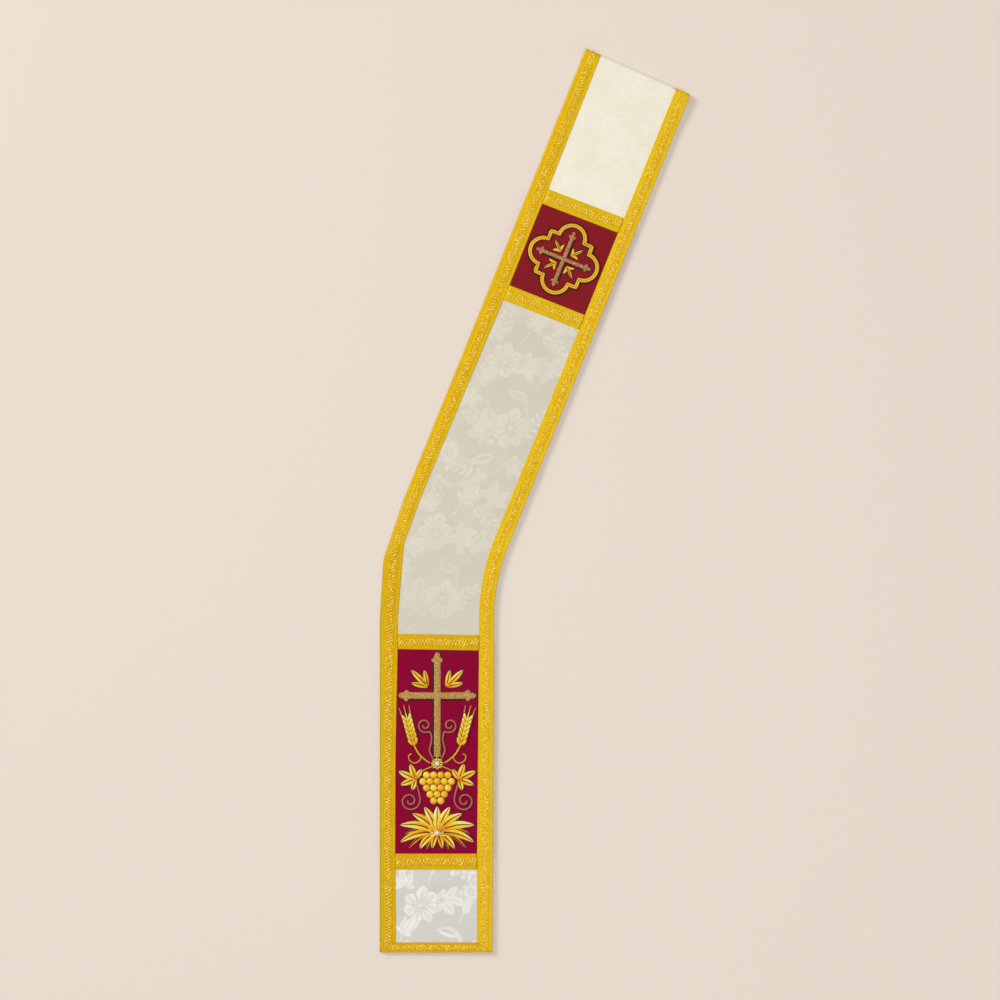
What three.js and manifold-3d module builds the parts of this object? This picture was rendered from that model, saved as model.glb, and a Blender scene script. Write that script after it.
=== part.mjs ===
// A deacon's stole, folded once at the shoulder and laid flat, front half up.
//
// The real stole is one long lined band. The front half carries three panels of
// white damask and two of crimson cloth, edged and divided by a woven gold
// galloon, with raised gold embroidery on the crimson. It is cut with an angle
// where it reaches the hip: the upper leg leans, the lower leg hangs straight.
// The back half lies under it, plain, with its own galloon along the edges.
//
// Millimetres, +Z up, the underside at Z = 0, and the origin under the middle of
// the whole outline. +Y runs from the hem towards the shoulder fold.

import * as THREE from "three";
import { mergeVertices } from "three/addons/utils/BufferGeometryUtils.js";
import Module from "manifold-3d";

const wasm = await Module();
wasm.setup();

// Sizes of the band, in millimetres and degrees
const BAND_WIDTH = 140.6;
const LOWER_LEG = 476;
const UPPER_LEG = 670;
const HIP_BEND = 22;
const HIP_INNER_RADIUS = 250;
const HIP_PINCH = 4.6;
const HEM_TAPER = 1.8;
const FOLD_SKEW = 1.8;
const HEM_GALLOON = 12.5;

// Thicknesses
const CLOTH = 1.8;
const GALLOON_EDGE = 0.8;
const GALLOON_CENTRE = 1.1;
const SEAM_GAP = 0.3;
const LAYER_GAP = 0.3;

// The shoulder fold is soft: the front half rises towards it and turns round
const FOLD_RISE = 2.4;
const FOLD_RISE_REACH = 60;
const FOLD_CENTRE = 4.2;
const FOLD_TAIL = 14;
const BACK_PEEK = 1.2;

const HALF = BAND_WIDTH / 2;
const FOLD_AT = LOWER_LEG + UPPER_LEG;
const BEND = THREE.MathUtils.degToRad(HIP_BEND);
const BEND_TANGENT = (HIP_INNER_RADIUS + HALF) * Math.tan(BEND / 2);
const BEND_START = LOWER_LEG - BEND_TANGENT;
const BEND_END = LOWER_LEG + BEND_TANGENT;
const FRONT_Z = CLOTH + LAYER_GAP;
const TRIM_Z = FRONT_Z + CLOTH + SEAM_GAP;

// Galloon left showing beside the panels, at distances along the band from the hem
const LEFT_MARGIN = [
  { at: 0, width: 18.6 },
  { at: 123, width: 17.9 },
  { at: 250, width: 18.4 },
  { at: 376, width: 21 },
  { at: 440, width: 21 },
  { at: 560, width: 17 },
  { at: 760, width: 19.5 },
  { at: 830, width: 20.8 },
  { at: 950, width: 20.6 },
  { at: 1146, width: 19 },
];
const RIGHT_MARGIN = [
  { at: 0, width: 18.9 },
  { at: 123, width: 19.6 },
  { at: 376, width: 18.3 },
  { at: 540, width: 18.8 },
  { at: 1146, width: 19 },
];

// Galloon strips across the band. Skew is how far the right end drops, in degrees
const CROSS_BANDS = [
  { name: "galloon_across_hem", low: 103.3, high: 123, skew: 0 },
  { name: "galloon_across_hip", low: 376.5, high: 395.7, skew: 1 },
  { name: "galloon_across_chest", low: 819, high: 838.8, skew: -0.3 },
  { name: "galloon_across_shoulder", low: 948.4, high: 968.2, skew: -1 },
];

// Where the left galloon is mitred at the hip: its inner end, from the bend point
const MITRE_INNER = new THREE.Vector2(-41.7, 33);

const cloth = (color, roughness) =>
  new THREE.MeshStandardMaterial({ color, roughness, metalness: 0 });
const MATERIALS = {
  damask: cloth(0xe4dfcc, 0.6),
  crimson: cloth(0x8a1f36, 0.8),
  galloon: new THREE.MeshStandardMaterial({
    color: 0xdcb022,
    roughness: 0.45,
    metalness: 0.4,
  }),
  gold_thread: new THREE.MeshStandardMaterial({
    color: 0xe8c23a,
    roughness: 0.4,
    metalness: 0.4,
  }),
  antique_thread: new THREE.MeshStandardMaterial({
    color: 0xa88450,
    roughness: 0.5,
    metalness: 0.4,
  }),
};

const stole = new THREE.Group();

// Reads a margin table between its rows
function marginAt(table, at) {
  const next = table.findIndex((row) => row.at >= at);
  if (next === 0) return table[0].width;
  const [a, b] = [table[next - 1], table[next]];
  return THREE.MathUtils.mapLinear(at, a.at, b.at, a.width, b.width);
}

// Skew of a line across the band, which turns evenly from one strip to the next
function skewAt(at) {
  const rows = [
    { at: BEND_END, skew: 0 },
    ...CROSS_BANDS.filter((row) => row.low > BEND_END).map((row) => ({
      at: (row.low + row.high) / 2,
      skew: row.skew,
    })),
    { at: FOLD_AT, skew: FOLD_SKEW },
  ];
  if (at <= BEND_END) return 0;
  const next = rows.findIndex((row) => row.at >= at);
  const [a, b] = [rows[next - 1], rows[next]];
  return THREE.MathUtils.mapLinear(at, a.at, b.at, a.skew, b.skew);
}

// Both edges of the band at a distance from the hem, about the bend point.
// The distance follows the two straight centre lines, which meet at that point.
function edgesAt(at, skew = skewAt(at)) {
  const drop = HALF * Math.tan(THREE.MathUtils.degToRad(skew));
  if (at <= BEND_START) {
    const taper = HEM_TAPER * (1 - at / BEND_START);
    const y = at - LOWER_LEG;
    return {
      left: new THREE.Vector2(-HALF, y + drop),
      right: new THREE.Vector2(HALF - taper, y - drop),
    };
  }
  const forward = new THREE.Vector2(Math.sin(BEND), Math.cos(BEND));
  const sideways = new THREE.Vector2(Math.cos(BEND), -Math.sin(BEND));
  if (at >= BEND_END) {
    const centre = forward.clone().multiplyScalar(at - LOWER_LEG);
    return {
      left: centre
        .clone()
        .addScaledVector(sideways, -HALF)
        .addScaledVector(forward, drop),
      right: centre
        .clone()
        .addScaledVector(sideways, HALF)
        .addScaledVector(forward, -drop),
    };
  }
  const share = (at - BEND_START) / (BEND_END - BEND_START);
  const turn = BEND * share;
  const right = new THREE.Vector2(
    HALF + HIP_INNER_RADIUS * (1 - Math.cos(turn)),
    -BEND_TANGENT + HIP_INNER_RADIUS * Math.sin(turn),
  );
  const start = edgesAt(BEND_START).left;
  const end = edgesAt(BEND_END).left;
  const corner = hipCorner();
  const left =
    share < 0.5
      ? start.lerp(corner, share * 2)
      : corner.lerp(end, share * 2 - 1);
  return { left, right };
}

// The pinched outer corner at the hip
function hipCorner() {
  return new THREE.Vector2(
    -HALF + HIP_PINCH * Math.cos(BEND / 2),
    HALF * Math.tan(BEND / 2) - HIP_PINCH * Math.sin(BEND / 2),
  );
}

// The inner edges of both side galloons, with an allowance into the window
function windowAt(at, allowance, skew = skewAt(at)) {
  const { left, right } = edgesAt(at, skew);
  const width = left.distanceTo(right);
  const inLeft = (marginAt(LEFT_MARGIN, at) + allowance) / width;
  const inRight = (marginAt(RIGHT_MARGIN, at) + allowance) / width;
  return {
    left: left.clone().lerp(right, inLeft),
    right: right.clone().lerp(left, inRight),
  };
}

// How far the front half has risen towards the fold
function riseAt(at) {
  return (
    FOLD_RISE *
    THREE.MathUtils.smootherstep(at, FOLD_AT - FOLD_RISE_REACH, FOLD_AT)
  );
}

const lowest = edgesAt(0);
const highest = edgesAt(FOLD_AT);
const ORIGIN = new THREE.Vector2(
  (lowest.left.x - BACK_PEEK + highest.right.x) / 2,
  (lowest.left.y + highest.left.y) / 2,
);
const place = (point, z, shift = 0) =>
  new THREE.Vector3(point.x - ORIGIN.x - shift, point.y - ORIGIN.y, z);

// Joins rings of points into a closed skin. A closed loft has no end caps.
function loft(rings, closed = false) {
  const size = rings[0].length;
  const positions = rings.flat().flatMap((p) => [p.x, p.y, p.z]);
  const index = [];
  const spans = closed ? rings.length : rings.length - 1;
  for (let i = 0; i < spans; i++) {
    const here = i * size;
    const next = ((i + 1) % rings.length) * size;
    for (let k = 0; k < size; k++) {
      const after = (k + 1) % size;
      index.push(here + k, here + after, next + after);
      index.push(here + k, next + after, next + k);
    }
  }
  if (!closed) {
    const last = (rings.length - 1) * size;
    for (let k = 1; k < size - 1; k++) {
      index.push(0, k + 1, k);
      index.push(last, last + k, last + k + 1);
    }
  }
  return facingOut(new THREE.BufferGeometry(), positions, index);
}

// Gives a geometry its points and faces, turned so that they point outwards
function facingOut(geometry, positions, index) {
  const corner = (n) => new THREE.Vector3().fromArray(positions, index[n] * 3);
  let volume = 0;
  for (let i = 0; i < index.length; i += 3) {
    volume += corner(i).dot(corner(i + 1).cross(corner(i + 2)));
  }
  if (volume < 0) {
    for (let i = 0; i < index.length; i += 3) {
      [index[i + 1], index[i + 2]] = [index[i + 2], index[i + 1]];
    }
  }
  geometry.setAttribute(
    "position",
    new THREE.Float32BufferAttribute(positions, 3),
  );
  geometry.setIndex(index);
  return geometry;
}

function add(name, material, geometry) {
  const mesh = new THREE.Mesh(geometry, MATERIALS[material]);
  mesh.name = name;
  stole.add(mesh);
}

// Distances from low to high, even, with the bend's ends and middle among them
function stations(low, high, step) {
  const marks = [BEND_START, LOWER_LEG, BEND_END].filter(
    (at) => at > low + 1 && at < high - 1,
  );
  const ends = [low, ...marks, high];
  const found = [low];
  for (let i = 1; i < ends.length; i++) {
    const span = ends[i] - ends[i - 1];
    const bent = ends[i] > BEND_START && ends[i - 1] < BEND_END;
    const count = Math.max(1, Math.round(span / (bent ? step / 4 : step)));
    for (let k = 1; k <= count; k++)
      found.push(ends[i - 1] + (span * k) / count);
  }
  return found;
}

// Panels of the front half. They meet under the middle of each cross band.
const PANELS = [
  { name: "damask_hem", material: "damask" },
  { name: "crimson_lower", material: "crimson" },
  { name: "damask_long", material: "damask" },
  { name: "crimson_upper", material: "crimson" },
];

function slab(at, low, high, skew, edges = edgesAt) {
  const { left, right } = edges(at, skew);
  return [
    place(left, low),
    place(right, low),
    place(right, high),
    place(left, high),
  ];
}

const seams = CROSS_BANDS.map((row) => ({
  at: (row.low + row.high) / 2,
  skew: row.skew,
}));
PANELS.forEach((panel, i) => {
  const low = i ? seams[i - 1].at + SEAM_GAP / 2 : 0;
  const high = seams[i].at - SEAM_GAP / 2;
  const lowSkew = i ? seams[i - 1].skew : 0;
  const rings = stations(low, high, 80).map((at) => {
    const share = (at - low) / (high - low);
    const bent = at > BEND_START && at < BEND_END;
    const skew = bent
      ? 0
      : THREE.MathUtils.lerp(lowSkew, seams[i].skew, Math.round(share));
    return slab(at, FRONT_Z, FRONT_Z + CLOTH, skew);
  });
  add(panel.name, panel.material, loft(rings));
});

// The shoulder panel rises to the fold, narrows between the galloons, turns
// round and ends in a short tail on the underside
function foldRing(sides, turn, radiusOut, radiusIn, centreOut, centreIn) {
  const point = (side, radius, centreZ) => {
    const back = FOLD_CENTRE - radius * Math.sin(turn);
    const { left, right } = sides(FOLD_AT - back);
    const shift = (BACK_PEEK * turn) / Math.PI;
    const z = centreZ + radius * Math.cos(turn);
    return place(side === "left" ? left : right, z, shift);
  };
  return [
    point("left", radiusIn, centreIn),
    point("right", radiusIn, centreIn),
    point("right", radiusOut, centreOut),
    point("left", radiusOut, centreOut),
  ];
}

const between = (at) => windowAt(at, SEAM_GAP);
const TURN_STEPS = 8;
const turns = Array.from(
  { length: TURN_STEPS + 1 },
  (_, i) => (Math.PI * i) / TURN_STEPS,
);
const clothTop = FRONT_Z + CLOTH + FOLD_RISE;
const clothFold = { out: clothTop / 2, in: (clothTop - 2 * CLOTH) / 2 };
const shoulderStart = seams[3].at + SEAM_GAP / 2;
const shoulderEnd = FOLD_AT - FOLD_CENTRE - 1.5;
const shoulderRings = stations(shoulderStart, FOLD_AT - FOLD_RISE_REACH, 80)
  .concat(stations(FOLD_AT - FOLD_RISE_REACH, shoulderEnd, 10).slice(1))
  .map((at) =>
    slab(at, FRONT_Z + riseAt(at), FRONT_Z + riseAt(at) + CLOTH, skewAt(at)),
  );
const foldRings = turns.map((turn) =>
  foldRing(
    between,
    turn,
    clothFold.out,
    clothFold.in,
    clothFold.out,
    clothFold.out,
  ),
);
const tailRing = (at, low, high, sides) => {
  const { left, right } = sides(at);
  return [
    place(left, high, BACK_PEEK),
    place(right, high, BACK_PEEK),
    place(right, low, BACK_PEEK),
    place(left, low, BACK_PEEK),
  ];
};
const tailEnd = FOLD_AT - FOLD_TAIL;
add(
  "damask_shoulder",
  "damask",
  loft([...shoulderRings, ...foldRings, tailRing(tailEnd, 0, CLOTH, between)]),
);

// Galloon: thin at both edges, thicker over its patterned middle
const GALLOON_BORDER = 3.6;

function galloonRing(outer, inner, low, shift = 0) {
  const width = outer.distanceTo(inner);
  const at = (share, z) =>
    place(outer.clone().lerp(inner, share), low + z, shift);
  const border = GALLOON_BORDER / width;
  return [
    at(0, 0),
    at(1, 0),
    at(1, GALLOON_EDGE),
    at(1 - border, GALLOON_CENTRE),
    at(border, GALLOON_CENTRE),
    at(0, GALLOON_EDGE),
  ];
}

// The part of a side galloon that turns round the fold and ends on the underside
function galloonTurn(side) {
  const sides = (at) => {
    const edge = edgesAt(at)[side];
    return { outer: edge, inner: windowAt(at, 0)[side] };
  };
  const top = TRIM_Z + FOLD_RISE;
  const ring = (turn) => {
    const shift = (BACK_PEEK * turn) / Math.PI;
    const rim = (share, height) => {
      const radiusOut = (top + height) / 2;
      const radiusIn = (top - CLOTH) / 2;
      const inside = share.inside;
      const radius = inside ? radiusIn : radiusOut;
      const centreZ = inside ? (top + CLOTH) / 2 : radiusOut;
      const back = FOLD_CENTRE - radius * Math.sin(turn);
      const { outer, inner } = sides(FOLD_AT - back);
      const spot = outer.clone().lerp(inner, share.across);
      return place(spot, centreZ + radius * Math.cos(turn), shift);
    };
    const border =
      GALLOON_BORDER / sides(FOLD_AT).outer.distanceTo(sides(FOLD_AT).inner);
    return [
      rim({ across: 0, inside: true }, 0),
      rim({ across: 1, inside: true }, 0),
      rim({ across: 1 }, GALLOON_EDGE),
      rim({ across: 1 - border }, GALLOON_CENTRE),
      rim({ across: border }, GALLOON_CENTRE),
      rim({ across: 0 }, GALLOON_EDGE),
    ];
  };
  const { outer, inner } = sides(tailEnd);
  const tail = [
    { across: 0, z: CLOTH },
    { across: 1, z: CLOTH },
    { across: 1, z: 0 },
    { across: 0.8, z: 0 },
    { across: 0.2, z: 0 },
    { across: 0, z: 0 },
  ].map(({ across, z }) =>
    place(outer.clone().lerp(inner, across), z, BACK_PEEK),
  );
  return [...turns.map(ring), tail];
}

// A side galloon's two edges on the front half, from one distance to another
function sideRings(side, low, high, step) {
  return stations(low, high, step).map((at) =>
    galloonRing(edgesAt(at)[side], windowAt(at, 0)[side], TRIM_Z + riseAt(at)),
  );
}

// The hem corners are mitred, from the band's corner to the window's corner
function hemCorner(side, gap) {
  const outer = edgesAt(0)[side];
  const inner = windowAt(HEM_GALLOON, 0)[side];
  const along = inner
    .clone()
    .sub(outer)
    .rotateAround(new THREE.Vector2(), Math.PI / 2)
    .setLength(gap);
  return { outer: outer.clone().add(along), inner: inner.clone().add(along) };
}

const upperStart = BEND_END + 6;
const riseStart = FOLD_AT - FOLD_RISE_REACH;
const aboveHip = (side, low) => [
  ...sideRings(side, low, riseStart, 60),
  ...sideRings(side, riseStart, FOLD_AT - FOLD_CENTRE - 1.5, 10).slice(1),
  ...galloonTurn(side),
];
const mitre = (gap) => {
  const outer = hipCorner();
  const inner = MITRE_INNER.clone();
  const along = new THREE.Vector2(-0.65, 0.76).multiplyScalar(gap);
  return galloonRing(outer.add(along), inner.add(along), TRIM_Z);
};
const cornerRing = (side, gap) => {
  const { outer, inner } = hemCorner(side, gap);
  return galloonRing(outer, inner, TRIM_Z);
};

add(
  "galloon_left_upper",
  "galloon",
  loft([mitre(SEAM_GAP / 2), ...aboveHip("left", upperStart)]),
);
add(
  "galloon_left_lower",
  "galloon",
  loft([
    cornerRing("left", SEAM_GAP / 2),
    ...sideRings("left", 30, BEND_START, 60),
    mitre(-SEAM_GAP / 2),
  ]),
);
add(
  "galloon_right",
  "galloon",
  loft([
    cornerRing("right", -SEAM_GAP / 2),
    ...sideRings("right", 30, upperStart, 60),
    ...aboveHip("right", upperStart).slice(1),
  ]),
);
add(
  "galloon_hem",
  "galloon",
  loft([
    cornerRing("left", -SEAM_GAP / 2),
    cornerRing("right", SEAM_GAP / 2),
  ]),
);

for (const { name, low, high, skew } of CROSS_BANDS) {
  const bottom = windowAt(low, SEAM_GAP, skew);
  const top = windowAt(high, SEAM_GAP, skew);
  add(
    name,
    "galloon",
    loft([
      galloonRing(bottom.left, top.left, TRIM_Z),
      galloonRing(bottom.right, top.right, TRIM_Z),
    ]),
  );
}

// The back half, face down: a plain damask band between its own galloons, all
// flush underneath
const backEnd = tailEnd - SEAM_GAP;
const backRing = (first, second) => [
  place(first, CLOTH, BACK_PEEK),
  place(second, CLOTH, BACK_PEEK),
  place(second, 0, BACK_PEEK),
  place(first, 0, BACK_PEEK),
];
add(
  "back_damask",
  "damask",
  loft(
    stations(HEM_GALLOON + SEAM_GAP, backEnd, 90).map((at) => {
      const { left, right } = between(at);
      return backRing(left, right);
    }),
  ),
);
for (const side of ["left", "right"]) {
  add(
    "back_galloon_" + side,
    "galloon",
    loft(
      stations(HEM_GALLOON + SEAM_GAP, backEnd, 90).map((at) =>
        backRing(edgesAt(at)[side], windowAt(at, 0)[side]),
      ),
    ),
  );
}
add(
  "back_galloon_hem",
  "galloon",
  loft(
    [0, HEM_GALLOON].map((at) => {
      const { left, right } = edgesAt(at);
      return backRing(left, right);
    }),
  ),
);

// Raised embroidery. Every piece lies on its panel, flat underneath and domed.
// Each is drawn about the middle of its panel's window, in millimetres.

function windowMiddle(low, high) {
  const corners = [low, high].flatMap((row) =>
    Object.values(windowAt(row.at, 0, row.skew)),
  );
  return corners
    .reduce((sum, corner) => sum.add(corner), new THREE.Vector2())
    .divideScalar(corners.length);
}

const EMBROIDERY_Z = TRIM_Z;
const lowerMiddle = windowMiddle(
  { at: CROSS_BANDS[0].high, skew: 0 },
  { at: CROSS_BANDS[1].low, skew: CROSS_BANDS[1].skew },
);
const upperMiddle = windowMiddle(
  { at: CROSS_BANDS[2].high, skew: CROSS_BANDS[2].skew },
  { at: CROSS_BANDS[3].low, skew: CROSS_BANDS[3].skew },
);

const PLACES = {
  lower: { middle: lowerMiddle, turn: 0 },
  upper: { middle: upperMiddle, turn: -BEND },
};

// A padded stitched stroke along a line of points: widths holds the width at its
// start, middle and end, and the section is a low dome
function stroke(spot, points, widths, height, closed = false) {
  const { middle, turn } = PLACES[spot];
  const count = points.length;
  const rings = points.map((point, i) => {
    const before = points[closed ? (i + count - 1) % count : Math.max(i - 1, 0)];
    const after = points[closed ? (i + 1) % count : Math.min(i + 1, count - 1)];
    const arriving = point.clone().sub(before).normalize();
    const leaving = after.clone().sub(point).normalize();
    const tangent = arriving.clone().add(leaving).normalize();
    const square = leaving.lengthSq() && arriving.lengthSq();
    const mitred = square ? Math.max(0.5, tangent.dot(leaving)) : 1;
    const normal = new THREE.Vector2(-tangent.y, tangent.x);
    const share = i / (count - 1);
    const half = widthAt(widths, share) / 2 / mitred;
    const dome = height * Math.min(1, (2.4 * half) / Math.max(...widths) + 0.25);
    return DOME.map(({ across, up }) => {
      const spotted = point
        .clone()
        .addScaledVector(normal, across * half)
        .rotateAround(new THREE.Vector2(), turn)
        .add(middle);
      return place(spotted, EMBROIDERY_Z + up * dome);
    });
  });
  return loft(rings, closed);
}

const DOME = [
  { across: -1, up: 0 },
  { across: 1, up: 0 },
  { across: 0.75, up: 0.62 },
  { across: 0, up: 1 },
  { across: -0.75, up: 0.62 },
];

function widthAt(widths, share) {
  if (widths.length === 1) return widths[0];
  const [start, middle, end] = widths;
  const swell = Math.sin(Math.PI * share) ** 0.75;
  return THREE.MathUtils.lerp(
    THREE.MathUtils.lerp(start, end, share),
    middle,
    swell,
  );
}

// Evenly spaced points on a smooth curve through a few given ones
const curved = (knots, count) =>
  new THREE.SplineCurve(knots.map(([x, y]) => new THREE.Vector2(x, y))).getPoints(
    count,
  );

// A pointed petal or leaf lobe from a root, bowed to one side
function petal(root, angle, length, bow, steps = 6) {
  const turn = THREE.MathUtils.degToRad(angle);
  return Array.from({ length: steps + 1 }, (_, i) => {
    const share = i / steps;
    return new THREE.Vector2(bow * Math.sin(Math.PI * share), length * share)
      .rotateAround(new THREE.Vector2(), -turn)
      .add(root);
  });
}

// Joins closed skins that overlap into one
function united(geometries) {
  const solid = geometries
    .map((geometry) => {
      const bare = geometry.clone();
      bare.deleteAttribute("normal");
      bare.deleteAttribute("uv");
      const merged = mergeVertices(bare, 1e-3);
      return new wasm.Manifold(
        new wasm.Mesh({
          numProp: 3,
          vertProperties: merged.attributes.position.array,
          triVerts: new Uint32Array(merged.index.array),
        }),
      );
    })
    .reduce((sum, next) => sum.add(next));
  const mesh = solid.getMesh();
  const positions = [...mesh.vertProperties];
  return facingOut(new THREE.BufferGeometry(), positions, [...mesh.triVerts]);
}

const vector = (x, y) => new THREE.Vector2(x, y);
const SIDES = [
  { side: "left", sign: -1 },
  { side: "right", sign: 1 },
];

// Lobes of the bud at the end of a cross's arm: a pointed one between two short ones,
// by their share of the bud's length and of the bar's width
const BUD_LOBES = [
  { spread: -66, length: 0.62, width: 0.75 },
  { spread: 0, length: 1, width: 0.95 },
  { spread: 66, length: 0.62, width: 0.75 },
];

// A cross of couched bullion: two bars, each arm ended by a bud of three lobes
function cross(spot, { arms, bar, height, bud }) {
  const ends = [
    { x: 0, y: arms.up, angle: 0 },
    { x: arms.side, y: arms.bar, angle: 90 },
    { x: 0, y: arms.down, angle: 180 },
    { x: -arms.side, y: arms.bar, angle: 270 },
  ];
  const bars = [
    [vector(0, arms.down), vector(0, arms.up)],
    [vector(-arms.side, arms.bar), vector(arms.side, arms.bar)],
  ].map((line) => stroke(spot, line, [bar], height));
  const buds = ends
    .filter((end) => bud.foot || end.angle !== 180)
    .flatMap(({ x, y, angle }) =>
      BUD_LOBES.map(({ spread, length, width }) =>
        stroke(
          spot,
          petal(vector(x, y), angle + spread, bud.length * length, 0, 4),
          [bar * 0.6, bar * width, 0.8],
          height,
        ),
      ),
    );
  return united([...bars, ...buds]);
}

// Medallion on the upper crimson panel: a barbed quatrefoil, which is a square
// with a half-round lobe on each side, worked in a padded double cord. The square
// is given by half its side, and the lobe by its radius.
const QUATREFOIL = { square: 27.2, lobe: 16.6, cord: 5 };

function quatrefoil({ square, lobe }) {
  const points = [];
  for (let side = 0; side < 4; side++) {
    for (let i = 0; i <= 14; i++) {
      const angle = (Math.PI * i) / 14;
      points.push(
        vector(lobe * Math.cos(angle), square + lobe * Math.sin(angle)),
      );
    }
    points.push(vector(-square, square));
    for (const point of points.slice(side * 16))
      point.rotateAround(vector(0, 0), (side * Math.PI) / 2);
  }
  return points;
}

add(
  "medallion_quatrefoil",
  "gold_thread",
  stroke("upper", quatrefoil(QUATREFOIL), [QUATREFOIL.cord], 1.3, true),
);
add(
  "medallion_cross",
  "antique_thread",
  cross("upper", {
    arms: { up: 28, down: -28, side: 28, bar: 0 },
    bar: 5.4,
    height: 1.4,
    bud: { length: 8.5, foot: true },
  }),
);
[45, 135, 225, 315].forEach((angle, i) => {
  const out = vector(0, 9.5).rotateAround(
    vector(0, 0),
    -THREE.MathUtils.degToRad(angle),
  );
  const leaves = [
    { spread: 0, length: 17, bow: 0 },
    { spread: -50, length: 10, bow: 1.4 },
    { spread: 50, length: 10, bow: -1.4 },
  ].map(({ spread, length, bow }) =>
    stroke("upper", petal(out, angle + spread, length, bow), [1.6, 3.6, 0.6], 1.1),
  );
  add("medallion_spray_" + (i + 1), "gold_thread", united(leaves));
});

// Lower crimson panel: a budded cross between two wheat ears, a bunch of grapes
// between vine leaves under it, and a palmette at the foot
add(
  "lower_cross",
  "antique_thread",
  cross("lower", {
    arms: { up: 112, down: -6, side: 36.5, bar: 70 },
    bar: 8.4,
    height: 1.7,
    bud: { length: 12, foot: false },
  }),
);

// Half an ellipsoid, flat underneath
function bead(spot, x, y, radius, height) {
  const { middle, turn } = PLACES[spot];
  const profile = [vector(0, 0), vector(radius, 0)];
  for (let i = 1; i <= 3; i++) {
    const angle = (Math.PI / 6) * i;
    profile.push(
      vector(i === 3 ? 0 : radius * Math.cos(angle), height * Math.sin(angle)),
    );
  }
  const geometry = new THREE.LatheGeometry(profile, 10);
  geometry.rotateX(Math.PI / 2);
  const spotted = vector(x, y).rotateAround(vector(0, 0), turn).add(middle);
  const { x: px, y: py, z: pz } = place(spotted, EMBROIDERY_Z);
  return geometry.translate(px, py, pz);
}

const GRAPE_ROWS = [4, 5, 4, 3, 2];
const GRAPE = { radius: 4.9, pitch: 8.9, row: 8, top: -29, height: 2.2 };
const grapes = GRAPE_ROWS.flatMap((count, row) =>
  Array.from({ length: count }, (_, i) =>
    bead(
      "lower",
      (i - (count - 1) / 2) * GRAPE.pitch,
      GRAPE.top - row * GRAPE.row,
      GRAPE.radius,
      GRAPE.height,
    ),
  ),
);
add("grape_bunch", "gold_thread", united(grapes));

// Leaves that spring from one root, each given as its angle, length and width
function leafFan(spot, root, rows, height, heart = []) {
  const leaves = rows.map(({ angle, length, width, bow = 0 }) => {
    const line = petal(root, angle, length, bow);
    return stroke(spot, line, [Math.min(2.6, width / 2), width, 0.8], height);
  });
  return united([...leaves, ...heart]);
}

const BLOSSOM = { petals: 8, radius: 7.8, width: 4.8 };
const blossomRows = Array.from({ length: BLOSSOM.petals }, (_, i) => ({
  angle: (360 / BLOSSOM.petals) * i,
  length: BLOSSOM.radius,
  width: BLOSSOM.width,
}));
add(
  "tie_blossom",
  "gold_thread",
  leafFan("lower", vector(0, -14.5), blossomRows, 1.6),
);

const PALMETTE = { y: -101, heart: 6 };
const PALMETTE_LEAVES = [
  { angle: 0, length: 33, width: 10.5 },
  { angle: 26, length: 36, width: 10.5, bow: -1.5 },
  { angle: 52, length: 39, width: 10.5, bow: -3 },
  { angle: 78, length: 47, width: 10.5, bow: -4.5 },
  { angle: 104, length: 47, width: 9.5, bow: -5 },
  { angle: 132, length: 29, width: 8.5, bow: -3 },
  { angle: 162, length: 20, width: 7, bow: -1 },
];
const palmetteRows = PALMETTE_LEAVES.flatMap((row) =>
  row.angle ? [row, { ...row, angle: -row.angle, bow: -row.bow }] : [row],
);
add(
  "palmette",
  "gold_thread",
  leafFan("lower", vector(0, PALMETTE.y), palmetteRows, 1.9, [
    bead("lower", 0, PALMETTE.y, PALMETTE.heart, 2.4),
  ]),
);

// A curl: a stem that winds into a spiral
function curl(sign, { x, y, outer, inner, turns: wound, from }) {
  const steps = 30;
  return Array.from({ length: steps + 1 }, (_, i) => {
    const share = i / steps;
    const radius = THREE.MathUtils.lerp(outer, inner, share);
    const angle = THREE.MathUtils.degToRad(from + 360 * wound * share);
    return vector(
      sign * (x + radius * Math.cos(angle)),
      y + radius * Math.sin(angle),
    );
  });
}

// Lobes of a vine leaf, by their share of its size
const LEAF_LOBES = [
  { spread: 0, length: 1, width: 0.36 },
  { spread: -46, length: 0.86, width: 0.34 },
  { spread: 46, length: 0.86, width: 0.34 },
  { spread: -98, length: 0.62, width: 0.3 },
  { spread: 98, length: 0.62, width: 0.3 },
];
const VINE_LEAF = { x: 27, y: -34, angle: 65, size: 23 };
const SPRAY = { x: 11.5, y: 81, angle: 45 };
const SPRAY_LEAVES = [
  { spread: 0, length: 29, width: 7.5 },
  { spread: -33, length: 21, width: 6.5 },
  { spread: 33, length: 21, width: 6.5 },
];
const EAR = { x: 28, y: 6, lean: 15, length: 46, grains: 6, pitch: 6.2 };
const GRAIN = { spread: 28, length: 11, width: 4.8, bow: 1 };

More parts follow.
